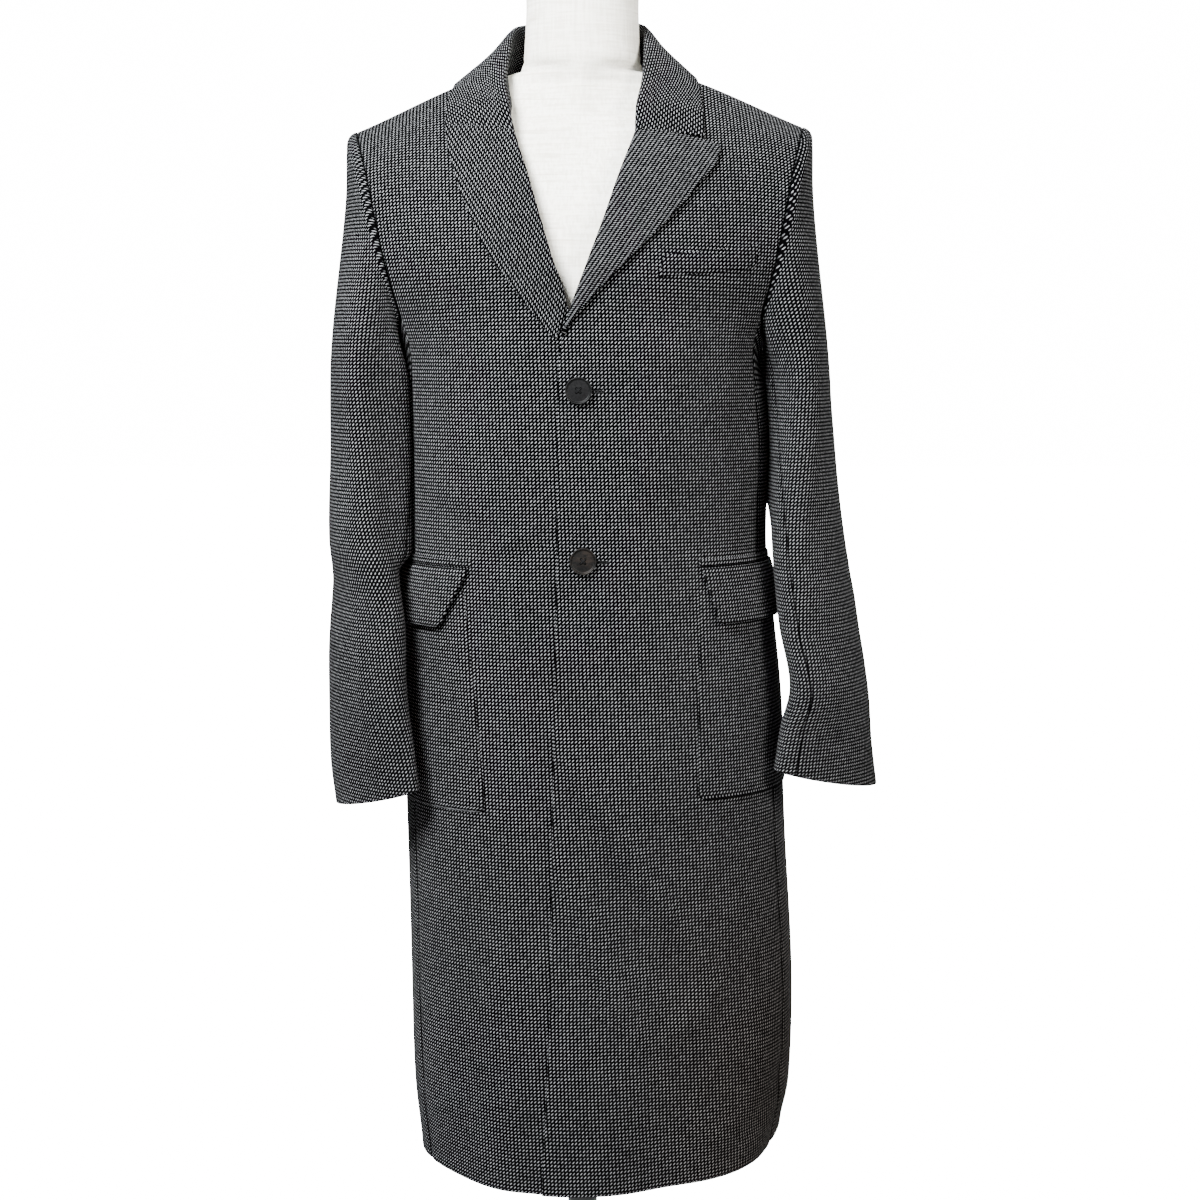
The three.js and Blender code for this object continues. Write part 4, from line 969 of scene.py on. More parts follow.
def addBump(tree, shader, height, strength, distance):
    bump = newNode(tree, "Bump", {"Strength": strength, "Distance": distance, "Height": height})
    feed(tree, shader.inputs["Normal"], bump.outputs[0])


dashGroup = makeDashGroup()
fibreGroup = makeFibreGroup()


def makeCoatMaterial():
    material, tree, shader = newMaterial("coatWool")
    place = objectPlace(tree)
    dashes = addGroup(tree, dashGroup, {"Cloth": clothPlace(tree), "Unevenness": 0.5})
    fibres = addGroup(tree, fibreGroup, {"Place": place})
    spread = newNode(tree, "SeparateXYZ", {0: place})
    # the skirt's lower left side is a little browner, and darker with painted shade where the light falls
    # off; the upper right a little bluer
    warmShade = times(tree, rangeNode(tree, spread.outputs["Z"], 0.85, 0.45, 0, 1),
                 rangeNode(tree, spread.outputs["X"], -0.02, 0.2, 0, 1))
    # painted shade: the yarn is darkened near seams and edges by the edge shade attribute
    shade = newNode(tree, "Attribute", {})
    shade.attribute_name = "paintedEdgeShade"
    yarn = dashes.outputs["Yarn"]
    for factor in (rangeNode(tree, fibres.outputs["Fibre"], 0.3, 0.7, 0.75, 1.2),
                   rangeNode(tree, fibres.outputs["Tone"], 0.3, 0.7, 0.85, 1.12),
                   rangeNode(tree, shade.outputs["Fac"], 0, 1, 1, 0.12, False)):
        yarn = times(tree, yarn, factor)
    lit = mixColours(tree, times(tree, dashes.outputs["Dash"], yarn),
                     mixColours(tree, warmShade, weave["ground"], weave["shadedWarmGround"]),
                     mixColours(tree, warmShade, weave["dash"], weave["shadedWarmDash"]))
    fill(tree, shader, {"Base Color": lit, "Roughness": 0.92, "Specular IOR Level": 0.008,
                        "Sheen Weight": 0.003, "Sheen Roughness": 0.5})
    height = plus(tree, dashes.outputs["Relief"], times(tree, fibres.outputs["Fibre"], 0.5))
    addBump(tree, shader, height, 0.5, 0.0004)
    return material


def makeLiningMaterial():
    material, tree, shader = newMaterial("liningTwill")
    fibres = addGroup(tree, fibreGroup, {"Fibre Scale": 1400, "Tone Scale": 20,
                                         "Place": stretched(tree, clothPlace(tree), (1, 0.15, 1))})
    fibre = fibres.outputs["Fibre"]
    colour = mixColours(tree, fibres.outputs["Tone"], *colours["lining"])
    fill(tree, shader, {"Base Color": colour, "Roughness": rangeNode(tree, fibre, 0.2, 0.8, 0.35, 0.55)})
    addBump(tree, shader, fibre, 0.3, 0.0002)
    return material


def makeLinenMaterial():
    material, tree, shader = newMaterial("formLinen")
    place = objectPlace(tree)
    fibres = addGroup(tree, fibreGroup, {"Place": place, "Tone Scale": 9})
    weft, warp = (noiseNode(tree, stretched(tree, place, scale), 1, 4)
                  for scale in ((28, 28, 420), (420, 420, 22)))
    threads = times(tree, plus(tree, weft, warp), 0.5)
    slub = noiseNode(tree, stretched(tree, place, (12, 12, 260)), 1, 2, 0.5)
    cream = mixColours(tree, rangeNode(tree, fibres.outputs["Tone"], 0.3, 0.7, 0, 1), *colours["linen"])
    cream = mixColours(tree, rangeNode(tree, threads, 0.42, 0.6, 0, 0.75), cream,
                       colours["linenThread"])
    cream = mixColours(tree, rangeNode(tree, slub, 0.6, 0.7, 0, 0.6), cream, colours["linenSlub"])
    fill(tree, shader, {"Base Color": cream, "Roughness": 0.9, "Specular IOR Level": 0.2})
    addBump(tree, shader, plus(tree, threads, times(tree, fibres.outputs["Fibre"], 0.4)), 0.35, 0.0006)
    return material


def makeHornMaterial(name, marbling):
    material, tree, shader = newMaterial(name)
    place = objectPlace(tree)
    swirl = noiseNode(tree, stretched(tree, place, (1, 1, 2.4)), 85, 5, 0.62)
    scratches = noiseNode(tree, place, 900)
    fill(tree, shader, {
        "Base Color": mixColours(tree, rangeNode(tree, swirl, 0.42, 0.72, 0, marbling), *colours[name]),
        "Roughness": rangeNode(tree, scratches, 0.3, 0.7, 0.42, 0.6), "Specular IOR Level": 0.12})
    addBump(tree, shader, scratches, 0.12, 0.0001)
    return material


def makeThreadMaterial():
    material, tree, shader = newMaterial("sewingThread")
    twist = noiseNode(tree, objectPlace(tree), 2600, 2, 0.5)
    colour = mixColours(tree, twist, *colours["thread"])
    fill(tree, shader, {"Base Color": colour, "Roughness": 0.8, "Specular IOR Level": 0.05})
    addBump(tree, shader, twist, 0.5, 0.0002)
    return material


def makeSteelMaterial():
    material, tree, shader = newMaterial("standPaint")
    place = objectPlace(tree)
    grit = noiseNode(tree, place, 700)
    worn = rangeNode(tree, noiseNode(tree, place, 14, 4), 0.45, 0.75, 0, 0.5)
    colour = mixColours(tree, worn, *colours["stand"])
    fill(tree, shader, {"Base Color": colour, "Metallic": 0.3,
                        "Roughness": rangeNode(tree, grit, 0.3, 0.7, 0.38, 0.5)})
    addBump(tree, shader, grit, 0.15, 0.0002)
    return material


def makeFloorMaterial():
    material, tree, shader = newMaterial("paleFloor")
    tone = noiseNode(tree, objectPlace(tree), 0.7, 2, 0.5)
    path = newNode(tree, "LightPath", {})
    fill(tree, shader, {
        "Base Color": mixColours(tree, tone, *colours["floor"]),
        "Roughness": 0.9, "Specular IOR Level": 0.1, "Emission Color": (1, 1, 1, 1),
        "Emission Strength": times(tree, path.outputs["Is Camera Ray"], light["seen"])})
    return material


coatWool = makeCoatMaterial()
liningTwill = makeLiningMaterial()
formLinen = makeLinenMaterial()
hornDark = makeHornMaterial("hornDark", 0.5)
hornBrown = makeHornMaterial("hornBrown", 0.85)
sewingThread = makeThreadMaterial()
standPaint = makeSteelMaterial()
print("materials made")


def declare(obj, nodes):
    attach(obj, "root")
    if nodes:
        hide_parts(*nodes)


# Cloth of a panel from the first to the last share of its width.
def makePanel(name, panel, knots, side, fromW, toW, grain, dips, outward, edges, openFrom=None):
    fromW, toW = (np.broadcast_to(each, knots.shape)[:, None] for each in (fromW, toW))
    ws = np.linspace(0, 1, 121)[None, :] * (toW - fromW) + fromW
    points = panel.at(ws, knots[:, None])[..., :3]
    arc = arcLengths(points, 1)
    middle = points.shape[1] // 2
    if grain == "middle":
        u = points[:, middle, 0][:, None] + side * (arc - arc[:, middle:middle + 1])
    elif grain == "start":
        u = side * arc
    else:
        u = side * (arc - arc[:, middle:middle + 1])
    line = points[:, middle, 1:]
    v = np.concatenate([[0], np.cumsum(np.linalg.norm(np.diff(line, axis=0), axis=1))])
    uv = np.stack([u, np.broadcast_to(v[:, None], u.shape)], -1)
    return makeCloth(name, points, outward, uv, dips=dips, edges=edges, materials=(coatWool, liningTwill),
                     spacing=cloth["spacing"], openFrom=openFrom)


for name, side in wearerSides.items():
    parts = panels[name]
    knots = np.linspace(meshLow, neck["topKnot"], 420)
    # above the break the front ends under the fold of its lapel
    tuck = lapels["tuck"] * (ease((knots - 1196) / 14) if side > 0 else ease((knots - 1200) / 16))
    widths = arcLengths(parts["front"].at(np.linspace(0, 1, 61)[None, :], knots[:, None]), 1)[:, -1]
    front = makePanel(f"coat_front_{name}", parts["front"], knots, side, tuck / widths, nearlyOne,
                      "middle", (0.3, 1.0, 0, 0.6), (0, -1, 0), ("free", "seam", "free", "seam"), 1192)
    back = makePanel(f"coat_back_{name}", parts["back"], knots, side, 0.0008, nearlyOne,
                     "start", (0.9, 0.9, 0, 0.6), (0, 1, 0), ("seam", "seam", "free", "seam"), 1192)
    sideKnots = np.linspace(meshLow, sideTop - 0.4, 300)
    under = makePanel(f"coat_side_{name}", parts["side"], sideKnots, side, 0.002, 0.998,
                      "centre", (1.0, 0.9, 0, 0), (side, 0, 0), ("seam", "seam", "free", "seam"))
    parts["pieces"] = {"front": front, "back": back, "side": under}
print("body panels made")


# Sleeves

def ringPoint(ring, side, degrees, z):
    x, y, deep, wide, turn = (ring[..., k] for k in range(5))
    turn = np.radians(turn)
    angle = np.radians(degrees)
    forward = deep * np.sin(angle)
    outward = wide * np.cos(angle)
    return point(x + side * (outward * np.cos(turn) - forward * np.sin(turn)),
                 y - forward * np.cos(turn) - outward * np.sin(turn), z)


def sleeveRing(name, rings, side, degrees, z):
    p = ringPoint(rings(z), side, degrees, float(z))
    isInner = ease((-np.cos(np.radians(degrees)) - 0.05) / 0.6)
    ahead, behind = sleeves["hugDepth"][name]
    share = isInner * ease((p[..., 1] - ahead) / (behind - ahead))
    share = share * ease((z - sleeves["hugFrom"][name]) / sleeves["hugBlend"][name])
    if share.max() > 0:
        beside = side * sideX(z, p[..., 1], side) + sleeves["hugGap"]
        p[..., 0] = lerp(p[..., 0], side * np.minimum(side * p[..., 0], beside), share)
    return p


# The armhole, as the edges of the panels have it, from the shoulder's tip down the front.
armholes = {}
for name in wearerSides:
    down = np.linspace(neck["topKnot"], 1220, 500)
    parts = panels[name]
    ring = np.concatenate([parts["front"].at(nearlyOne, down),
                           parts["side"].at(np.linspace(0.01, 0.99, 240), sideTop - 0.4),
                           parts["back"].at(nearlyOne, down[::-1])])[:, :3]
    ring = np.concatenate([ring, ring[:1]])
    armholes[name] = (arcLengths(ring[None], 1)[0], ring)


def sleeveGrid(name, side, degrees, knots):
    rings = smoothTable(sleeves[name])
    upper, hem = sleeves["upperArm"], sleeves["cuff"][name]
    along, dense = armholes[name]
    rows = []
    for knot in knots:
        if knot <= 0:
            base = sleeveRing(name, rings, side, degrees, lerp(upper, hem, -knot))
            base[..., 2] += sleeves["cuffSlope"][name] * (base[..., 0] - rings(hem)[0]) * -side * -knot
            rows.append(base)
            continue
        at = (np.asarray(degrees) / 360 % 1) * along[-1]
        start = readBetween(at, along, dense)
        top = 0.5 + 0.5 * np.cos(np.radians(degrees))
        start[..., 0] += side * (0.12 + sleeves["underarmEase"] * (1 - top) ** 2)
        end = sleeveRing(name, rings, side, degrees, upper)
        reach, fall = sleeves["headReach"], sleeves["headDrop"]
        lip = start + point(side * lerp(1.5, reach, top), 0, lerp(-1, -fall, top))
        if knot >= sleeves["rollAt"]:
            t = np.full(len(degrees), (1 - knot) / (1 - sleeves["rollAt"]))
            bulge = start + point(side * lerp(1.2, reach * 0.6, top), 0, lerp(0, -0.5, top))
            rows.append(bezier(start, bulge, lip + point(0, 0, lerp(0.5, fall * 0.5, top)), lip, t))
            continue
        t = np.full(len(degrees), 1 - knot / sleeves["rollAt"])
        drop = (lip[..., 2] - end[..., 2])[..., None]
        step = sleeves["ringStep"]
        below = sleeveRing(name, rings, side, degrees, upper - step)
        rows.append(bezier(lip, lip - drop / 3 * np.array([0, 0, 1.0]),
                           end + (end - below) * drop / (3 * step), end, t))
    return np.array(rows)


for name, side in wearerSides.items():
    rings = smoothTable(sleeves[name])
    knots = np.concatenate([np.linspace(-0.999, 0, 240)[:-1], np.linspace(0, 0.9, 130)[:-1],
                            np.linspace(0.9, 0.999, 30)])
    upper = sleeves["upperArm"]
    seamZ = np.where(knots > 0, upper, lerp(upper, sleeves["cuff"][name], -knots))
    seam = rings(seamZ)[:, 5]
    elbow = np.full(len(knots), float(sleeves["elbowSeam"]))
    for part, fromAngle, toAngle in (("top", elbow - 360, seam), ("under", seam, elbow)):
        gap = sleeves["gapDegrees"] * 0.5
        rows, angles = [], []
        for k, knot in enumerate(knots):
            degrees = np.linspace(fromAngle[k] + gap, toAngle[k] - gap, 111)
            rows.append(sleeveGrid(name, side, degrees, [knot])[0])
            angles.append(degrees)
        points, angles = np.array(rows), np.array(angles)
        ringCentre = rings(np.clip(points[..., 2], 749, 1200))
        outward = unit(points - point(ringCentre[..., 0], ringCentre[..., 1], points[..., 2]))
        spin = (angles + 180) % 360 - 180
        push = settle(angles * sleevePerDegree, points[..., 2])
        for turnBy in (0, 360):
            push += creasePush(sleeveCreases[name], (spin + turnBy) * sleevePerDegree,
                               points[..., 2], sleevePerDegree)
        push *= ease((0.86 - knots) / 0.2)[:, None]
        outside = np.cos(np.radians(angles))
        pucker = np.exp(-(((knots - 0.84) / 0.07) ** 2))[:, None] * ease((outside - 0.1) / 0.4)
        push += pucker * (0.45 * np.sin(angles / 3.1 + 1) + 0.3 * np.sin(angles / 1.9))
        # nothing moves towards the body
        push = np.where(outside < -0.2, np.minimum(push, 0.3), push)
        points = points + outward * push[..., None]
        arc = arcLengths(points, 1)
        zero = np.array([np.interp(0 if part == "top" else 180, a, s) for a, s in zip(angles, arc)])
        u = side * (zero[:, None] - arc)
        ring = np.searchsorted(knots, 0)
        for k in range(ring + 1, len(knots)):
            u[k] = np.interp(angles[k], angles[ring], u[ring])
        # above the upper arm the weave follows the cloth over the sleeve's head
        v = points[..., 2].copy()
        v[ring + 1:] = v[ring] + arcLengths(points[ring:], 0)[1:]
        uv = np.stack([u, v], -1)
        panels[name]["pieces"][f"{part}Sleeve"] = makeCloth(
            f"coat_{part}_sleeve_{name}", points, outward, uv, dips=(0.8, 0.8, 0, 0.1),
            edges=("seam", "seam", "free", "seam"), materials=(coatWool, liningTwill), spacing=3.6)
print("sleeves made")


# Lapels: the front's own cloth, folded over at the roll line and laid back on the chest. Its section
# goes from a short leg inside the front, round the fold, to the outer edge.
foldColumn = 18
lapelTops = {}


def makeLapel(name, side):
    panel = panels[name]["front"]
    rows = lapels[name]
    starts = np.array([panel.locate(r[0], r[1], 0.05) for r in rows])
    ends = np.array([panel.locate(r[2], r[3], 0.4) for r in rows])
    starts[:, 0] = np.maximum(starts[:, 0], 0.001)
    bends = np.array([r[4] for r in rows], float)
    table = smoothTable(np.column_stack([np.arange(len(rows)), starts, ends, bends]))
    values = table(np.linspace(0, len(rows) - 1, 150))
    thick, clear, wall = lapels["thick"], lapels["clear"], cloth["wall"]
    highest = clear + thick
    lowest = -(wall + clear + thick)
    grid = []
    for k, (w0, k0, w1, k1, bend) in enumerate(values):
        share = np.linspace(0, 1, 90)
        base = panel.at(lerp(w0, w1, share), lerp(k0, k1, share) + 4 * share * (1 - share) * bend)
        arc = arcLengths(base[None], 1)[0]
        length = arc[-1]
        level = k / (len(values) - 1)
        opened = ease(level / 0.12)
        radius = (highest - lowest) / 2 * opened
        centre = lapels["tuck"] * opened + 0.3
        angles = np.linspace(-math.pi / 2, -3 * math.pi / 2, 26)
        leg = np.linspace(centre + 4 * opened, centre, 6)[:-1]
        far = np.linspace(centre + 1.2, max(length, centre + 2), 64)
        s = np.concatenate([leg, centre + radius * np.cos(angles), far])
        h = np.concatenate([
            np.full(len(leg), lerp(highest, lowest, opened)),
            lerp(highest, (highest + lowest) / 2, opened) + radius * np.sin(angles),
            np.full(len(far), highest)])
        swell = lapels["bulge"][name] * opened * math.sin(math.pi * min(1, 0.25 + 0.75 * level)) ** 0.5
        past = np.clip((s - centre) / max(length - centre, 6), 0, 1)
        h = h + np.where(h > -wall, swell * np.sin(np.pi * past ** 0.7) ** 1.2, 0)
        h = h + lapels["standOff"][name] * opened * ease((past - 0.5) / 0.5)
        spot = readBetween(s, arc, base)
        spot[:, :3] += unit(base[1, :3] - base[0, :3]) * np.minimum(s, 0)[:, None]
        grid.append(spot[:, :3] + unit(spot[:, 3:]) * h[:, None])
    points = np.array(grid)
    lapelTops[name] = points[-1]
    # the weave lies flat on the chest, turned as the facing is cut, and runs on round the fold
    arc = arcLengths(points, 1)
    inside = np.arange(points.shape[1])[None, :] < foldColumn
    fold = slice(foldColumn, foldColumn + 1)
    x = np.where(inside, points[:, fold, 0] + side * (arc - arc[:, fold]), points[..., 0])
    z = np.where(inside, points[:, fold, 2], points[..., 2]) * 1.03
    (a, b), (c, d) = lapels["cut"][name]
    outward = np.zeros_like(points)
    outward[:, 60:] = (0, -1, 0)
    uv = np.stack([a * x + b * z, c * x + d * z], -1)
    return makeCloth(f"coat_lapel_{name}", points, outward, uv, thick=thick, spacing=2.6,
                     edges=("square", "free", "free", "square"), materials=(coatWool,))


coatLapels = {name: makeLapel(name, side) for name, side in wearerSides.items()}
print("lapels made")


# Collar

def neckSeamPoint(parts, share):
    if share <= neck["pointShare"]:
        return parts["front"].at(0, lerp(1396, neck["topKnot"], share / neck["pointShare"]))[:3]
    back = neck["share"] * (1 - (share - neck["pointShare"]) / (1 - neck["pointShare"]))
    return parts["back"].at(back, neck["topKnot"])[:3]


def collarPath(row, parts):
    panelName, share, topX, topY, topZ, edgeX, edgeZ = row
    seam = neckSeamPoint(parts, share)
    top = np.array([topX, topY, topZ], float)
    inward = unit(np.array([-top[0], axisY - top[1], 0]))
    panel = parts[panelName]
    spot = panel.at(*panel.locate(edgeX, edgeZ, 0.4))
    edge = spot[:3] + unit(spot[3:]) * (collar["layGap"] + collar["wall"])
    foot = seam + inward * (collar["wall"] + 1) + np.array([0, 0, -1.5])
    fall = unit(edge - top)
    up = np.array([0, 0, 1.0])
    outUp = unit(up - fall)
    r = collar["roll"]
    return [foot, lerp(foot, top, 0.55) + inward * 1.5, top + inward * r - up * r, top + outUp * r * 0.6,
            top - inward * r + fall * 2, lerp(top, edge, 0.35) + up * 3,
            lerp(top, edge, 0.7) + up * 2, edge]


# The collar's front end meets the top of the lapel along one line. On the wearer's left it parts
# from it at the notch.
def gorgeLine(name, across):
    top = lapelTops[name]
    arc = arcLengths(top[None], 1)[0]
    foldAt = arc[foldColumn]
    last = arc[-1]
    if name == "left":
        last = np.interp(collar["notch"]["tipX"], top[30:, 0], arc[30:])
    at = np.where(across < collar["foldShare"], foldAt * across / collar["foldShare"],
                  foldAt + (last - foldAt) * (across - collar["foldShare"]) / (1 - collar["foldShare"]))
    line = readBetween(at, arc, top)
    apart = np.full(len(line), 0.15)
    if name == "left":
        notch = collar["notch"]
        apart += notch["open"] * ease((line[:, 0] - notch["startX"]) / (notch["tipX"] - notch["startX"]))
    return line + apart[:, None] * np.array([0, 0.25, 0.97])


across = np.linspace(0, 1, 141)
ends = {name: [gorgeLine(name, across)] for name in wearerSides}
for name in ends:
    for row in collar[name][1:]:
        ends[name].append(throughPoints(collarPath(row, panels[name]), across))
lines = np.array(ends["right"] + ends["left"][-2::-1])
low = np.maximum(np.arange(len(lines)) - 1, 0)
high = np.minimum(np.arange(len(lines)) + 1, len(lines) - 1)
slopes = (lines[high] - lines[low]) / 2
place = np.linspace(0, len(lines) - 1, 12 * (len(lines) - 1) + 1)
i = np.minimum(place.astype(int), len(lines) - 2)
collarPoints = cubic(lines[i], lines[i + 1], slopes[i], slopes[i + 1], (place - i)[:, None, None], 1)
fold = int(collar["foldShare"] * 140)
a = arcLengths(collarPoints, 1)
a = a - a[:, fold:fold + 1]
b = arcLengths(collarPoints, 0)[:, 85]
b = b - b[len(b) // 2]
toFront = np.broadcast_to(np.abs(b)[:, None], a.shape)
# each half is cut so that its weave runs on from its lapel
onRight = b[:, None] <= 0
turn = np.radians(np.where(onRight, collar["grainTurn"]["right"], collar["grainTurn"]["left"]))
u = (a * np.cos(turn) + toFront * np.sin(turn)) * np.where(onRight, -1, 1)
v = a * np.sin(turn) - toFront * np.cos(turn)
towards = unit(point(collarPoints[..., 0], collarPoints[..., 1] - axisY, 0))
sense = np.where(across[None, :, None] > 0.6, towards + np.array([0, 0, 0.6]), 0)
coatCollar = makeCloth("coat_collar", collarPoints, sense, np.stack([u, v], -1), spacing=2.8,
                       edges=("square", "free", "square", "square"), materials=(coatWool,))
print("collar made")


# Pockets, flaps and welts: strips that follow the body from a front edge on the front panel.
def bodyLine(name, knot):
    parts = panels[name]
    w = np.linspace(0, 1, 200)
    front = parts["front"].at(w, knot)
    under = parts["side"].at(w[::2], min(knot, 1188))
    return np.concatenate([front, under[1:]])


def makePatch(label, name, side, rows, wide, lift, thick, grainShift=0, dips=(0, 0, 0, 0),
              corner=0, spacing=3.4):
    table = smoothTable(rows)
    z0, z1 = rows[0][0], rows[-1][0]
    heights = np.linspace(z0, z1, max(6, int((z1 - z0) / 1.5)))
    grid, us = [], []
    for z in heights:
        line = bodyLine(name, z)
        arc = arcLengths(line[None], 1)[0]
        values = table(z)
        x = values[0]
        front = line[:200]
        begin = np.interp(side * x, side * front[:, 0], arc[:200])
        if corner and z - z0 < corner:
            rise = corner - (z - z0)
            begin += corner - math.sqrt(max(0, corner * corner - rise * rise))
        reach = np.linspace(begin, begin + wide, 120)
        spot = readBetween(reach, arc, line)
        height = lift(z, values) + thick
        grid.append(spot[:, :3] + unit(spot[:, 3:]) * height)
        us.append(side * (reach - begin) + x)
    points = np.array(grid)
    outward = np.array(points)
    outward[..., 2] = 0
    outward[..., 1] -= axisY
    v = np.broadcast_to(heights[:, None], points.shape[:2])
    uv = np.stack([np.array(us) + grainShift, v], -1)
    return makeCloth(label, points, unit(outward), uv, thick=thick, spacing=spacing, dips=dips,
                     materials=(coatWool,))


for name, side in wearerSides.items():
    pieces = panels[name]["pieces"]
    pieces["pocket"] = makePatch(f"coat_pocket_{name}", name, side, pockets[name], pockets["wide"],
                                 lambda z, values: 0.15, 1.6, dips=(0.5, 0, 0.5, 0), corner=7)
    pieces["flap"] = makePatch(f"coat_flap_{name}", name, side, flaps[name], pockets["wide"],
                               lambda z, values: values[1] + 1.2, 2.4, grainShift=1.2, corner=5,
                               dips=(0.3, 0, 0.3, 0.6))
    z, x = flaps["weltStart"][name]
    pieces["flapWelt"] = makePatch(f"coat_flap_welt_{name}", name, side,
                                   [(z, x), (z + flaps["weltHigh"], x)], pockets["wide"] + 4,
                                   lambda z, values: 0.5, 1.8, spacing=2.4, dips=(0, 0, 0.5, 0.7))

panel = panels["left"]["front"]
low, high = panel.locate(welt["x"][0], welt["z"][0], 0.5), panel.locate(welt["x"][1], welt["z"][1], 0.8)
share = np.linspace(0, 1, 80)
rows = []
for up in np.linspace(0, welt["high"], 24):
    spot = panel.at(lerp(low[0], high[0], share), lerp(low[1], high[1], share) + up)
    rows.append(spot[:, :3] + unit(spot[:, 3:]) * 1.75)
rows = np.array(rows)
breastWelt = makeCloth("coat_breast_welt", rows, (0, -1, 0), rows[..., [0, 2]], thick=1.6, spacing=2.6,
                       dips=(0.4, 0.4, 0.6, 0.2), materials=(coatWool,))
print("pockets, flaps and welts made")


# Dress form

def shoulderHalf(z, parts):
    panel, knot = parts["front"], dressForm["shoulderKnot"]
    clear = cloth["wall"] * dressForm["slopeShare"] + dressForm["restGap"]
    low, _ = bisect(0.0, 1.0, lambda mid: panel.at(mid, knot)[2] - clear > z, 30)
    return min(abs(panel.at(low, knot)[0]), dressForm["shoulderRound"])


def makeForm():
    rows = list(dressForm["rows"])
    low, high = rows[-1][0], dressForm["neck"][0][0]
    for z in dressForm["shoulderHeights"]:
        share = (z - low) / (high - low)
        rows.append((z, shoulderHalf(z, panels["left"]), shoulderHalf(z, panels["right"]),
                     lerp(*dressForm["shoulderFront"], share), lerp(*dressForm["shoulderBack"], share),
                     dressForm["shoulderMiddle"], lerp(*dressForm["shoulderPower"], share)))
    rows += dressForm["neck"]
    table = np.array(rows, float)
    heights = np.concatenate([np.linspace(a, b, max(2, int((b - a) / 4) + 1))[:-1]
                              for a, b in zip(table[:-1, 0], table[1:, 0])] + [[1536.0]])
    values = readBetween(heights, table[:, 0], table[:, 1:])
    smooth = smoothTable(rows)(heights)
    soft = ((heights < 1380) | (heights > 1462))[:, None]
    values = np.where(soft, smooth, values)
    left, right, front, back, middle, power = (values[:, k:k + 1] for k in range(6))
    count = 168
    angle = 2 * np.pi * np.arange(count) / count
    cos, sin = np.cos(angle)[None, :], np.sin(angle)[None, :]
    x = np.sign(cos) * np.abs(cos) ** (2 / power) * np.where(cos >= 0, left, right)
    y = middle + (np.sign(sin) * np.abs(sin) ** (2 / power)
                  * np.where(sin >= 0, back - middle, middle - front))
    z = np.broadcast_to(heights[:, None], x.shape)
    p = point(x, y, z)
    # sewn seams: down the front and back centre, and round the neck's foot
    out = unit(point(x, y - axisY, 0))
    seamZ = 1461 - 19 * np.clip(-y / 50, 0, 1) ** 2
    groove = 0.7 * np.exp(-(((x + 3.5) / 1.1) ** 2)) + 0.8 * np.exp(-(((z - seamZ) / 1.6) ** 2))
    p = p - out * groove[..., None]
    rings = len(heights)
    index = np.arange(rings * count).reshape(rings, count)
    following = np.roll(index, -1, axis=1)
    faces = np.stack([index[:-1], following[:-1], following[1:], index[1:]], -1).reshape(-1, 4).tolist()
    vertices = p.reshape(-1, 3).tolist()
    for ring, sign in ((index[0], 1), (index[-1], -1)):
        hub = np.mean([vertices[k] for k in ring], axis=0)
        inner = ring
        for shrink in (0.97, 0.9, 0.6, 0.25):
            start = len(vertices)
            vertices += [(hub + (np.array(vertices[k]) - hub) * shrink).tolist() for k in ring]
            new = np.arange(start, start + count)
            quads = np.stack([inner, new, np.roll(new, -1), np.roll(inner, -1)], -1)
            faces += (quads if sign > 0 else quads[:, ::-1]).tolist()
            inner = new
        vertices.append(hub.tolist())
        tip = len(vertices) - 1
        fan = [[int(inner[k]), tip, int(inner[(k + 1) % count])] for k in range(count)]
        faces += fan if sign > 0 else [each[::-1] for each in fan]
    mesh = newMesh("form_torso", vertices, faces)
    mesh.materials.append(formLinen)
    mesh.update()
    return newObject("form_torso", mesh)


formTorso = makeForm()
print("dress form made")


# Hard pieces

def addModifier(obj, kind, **values):
    modifier = obj.modifiers.new(kind.lower(), kind)
    for key, value in values.items():
        setattr(modifier, key, value)
    bpy.context.view_layer.objects.active = obj
    bpy.ops.object.modifier_apply(modifier=modifier.name)


def selectFaces(obj, test):
    bpy.ops.object.mode_set(mode="OBJECT")
    for polygon in obj.data.polygons:
        polygon.select = test(polygon)
    for edge in obj.data.edges:
        edge.select = False
    for vertex in obj.data.vertices:
        vertex.select = False
    for polygon in obj.data.polygons:
        if polygon.select:
            for vertex in polygon.vertices:
                obj.data.vertices[vertex].select = True
    bpy.ops.object.mode_set(mode="EDIT")
    bpy.ops.mesh.select_mode(type="FACE")


def addCylinder(name, radius, depth, place, sides=64):
    bpy.ops.object.select_all(action="DESELECT")
    bpy.ops.mesh.primitive_cylinder_add(vertices=sides, radius=radius, depth=depth, location=place)
    obj = bpy.context.object
    obj.name = name
    bpy.ops.object.transform_apply(location=True, rotation=True, scale=True)
    return obj


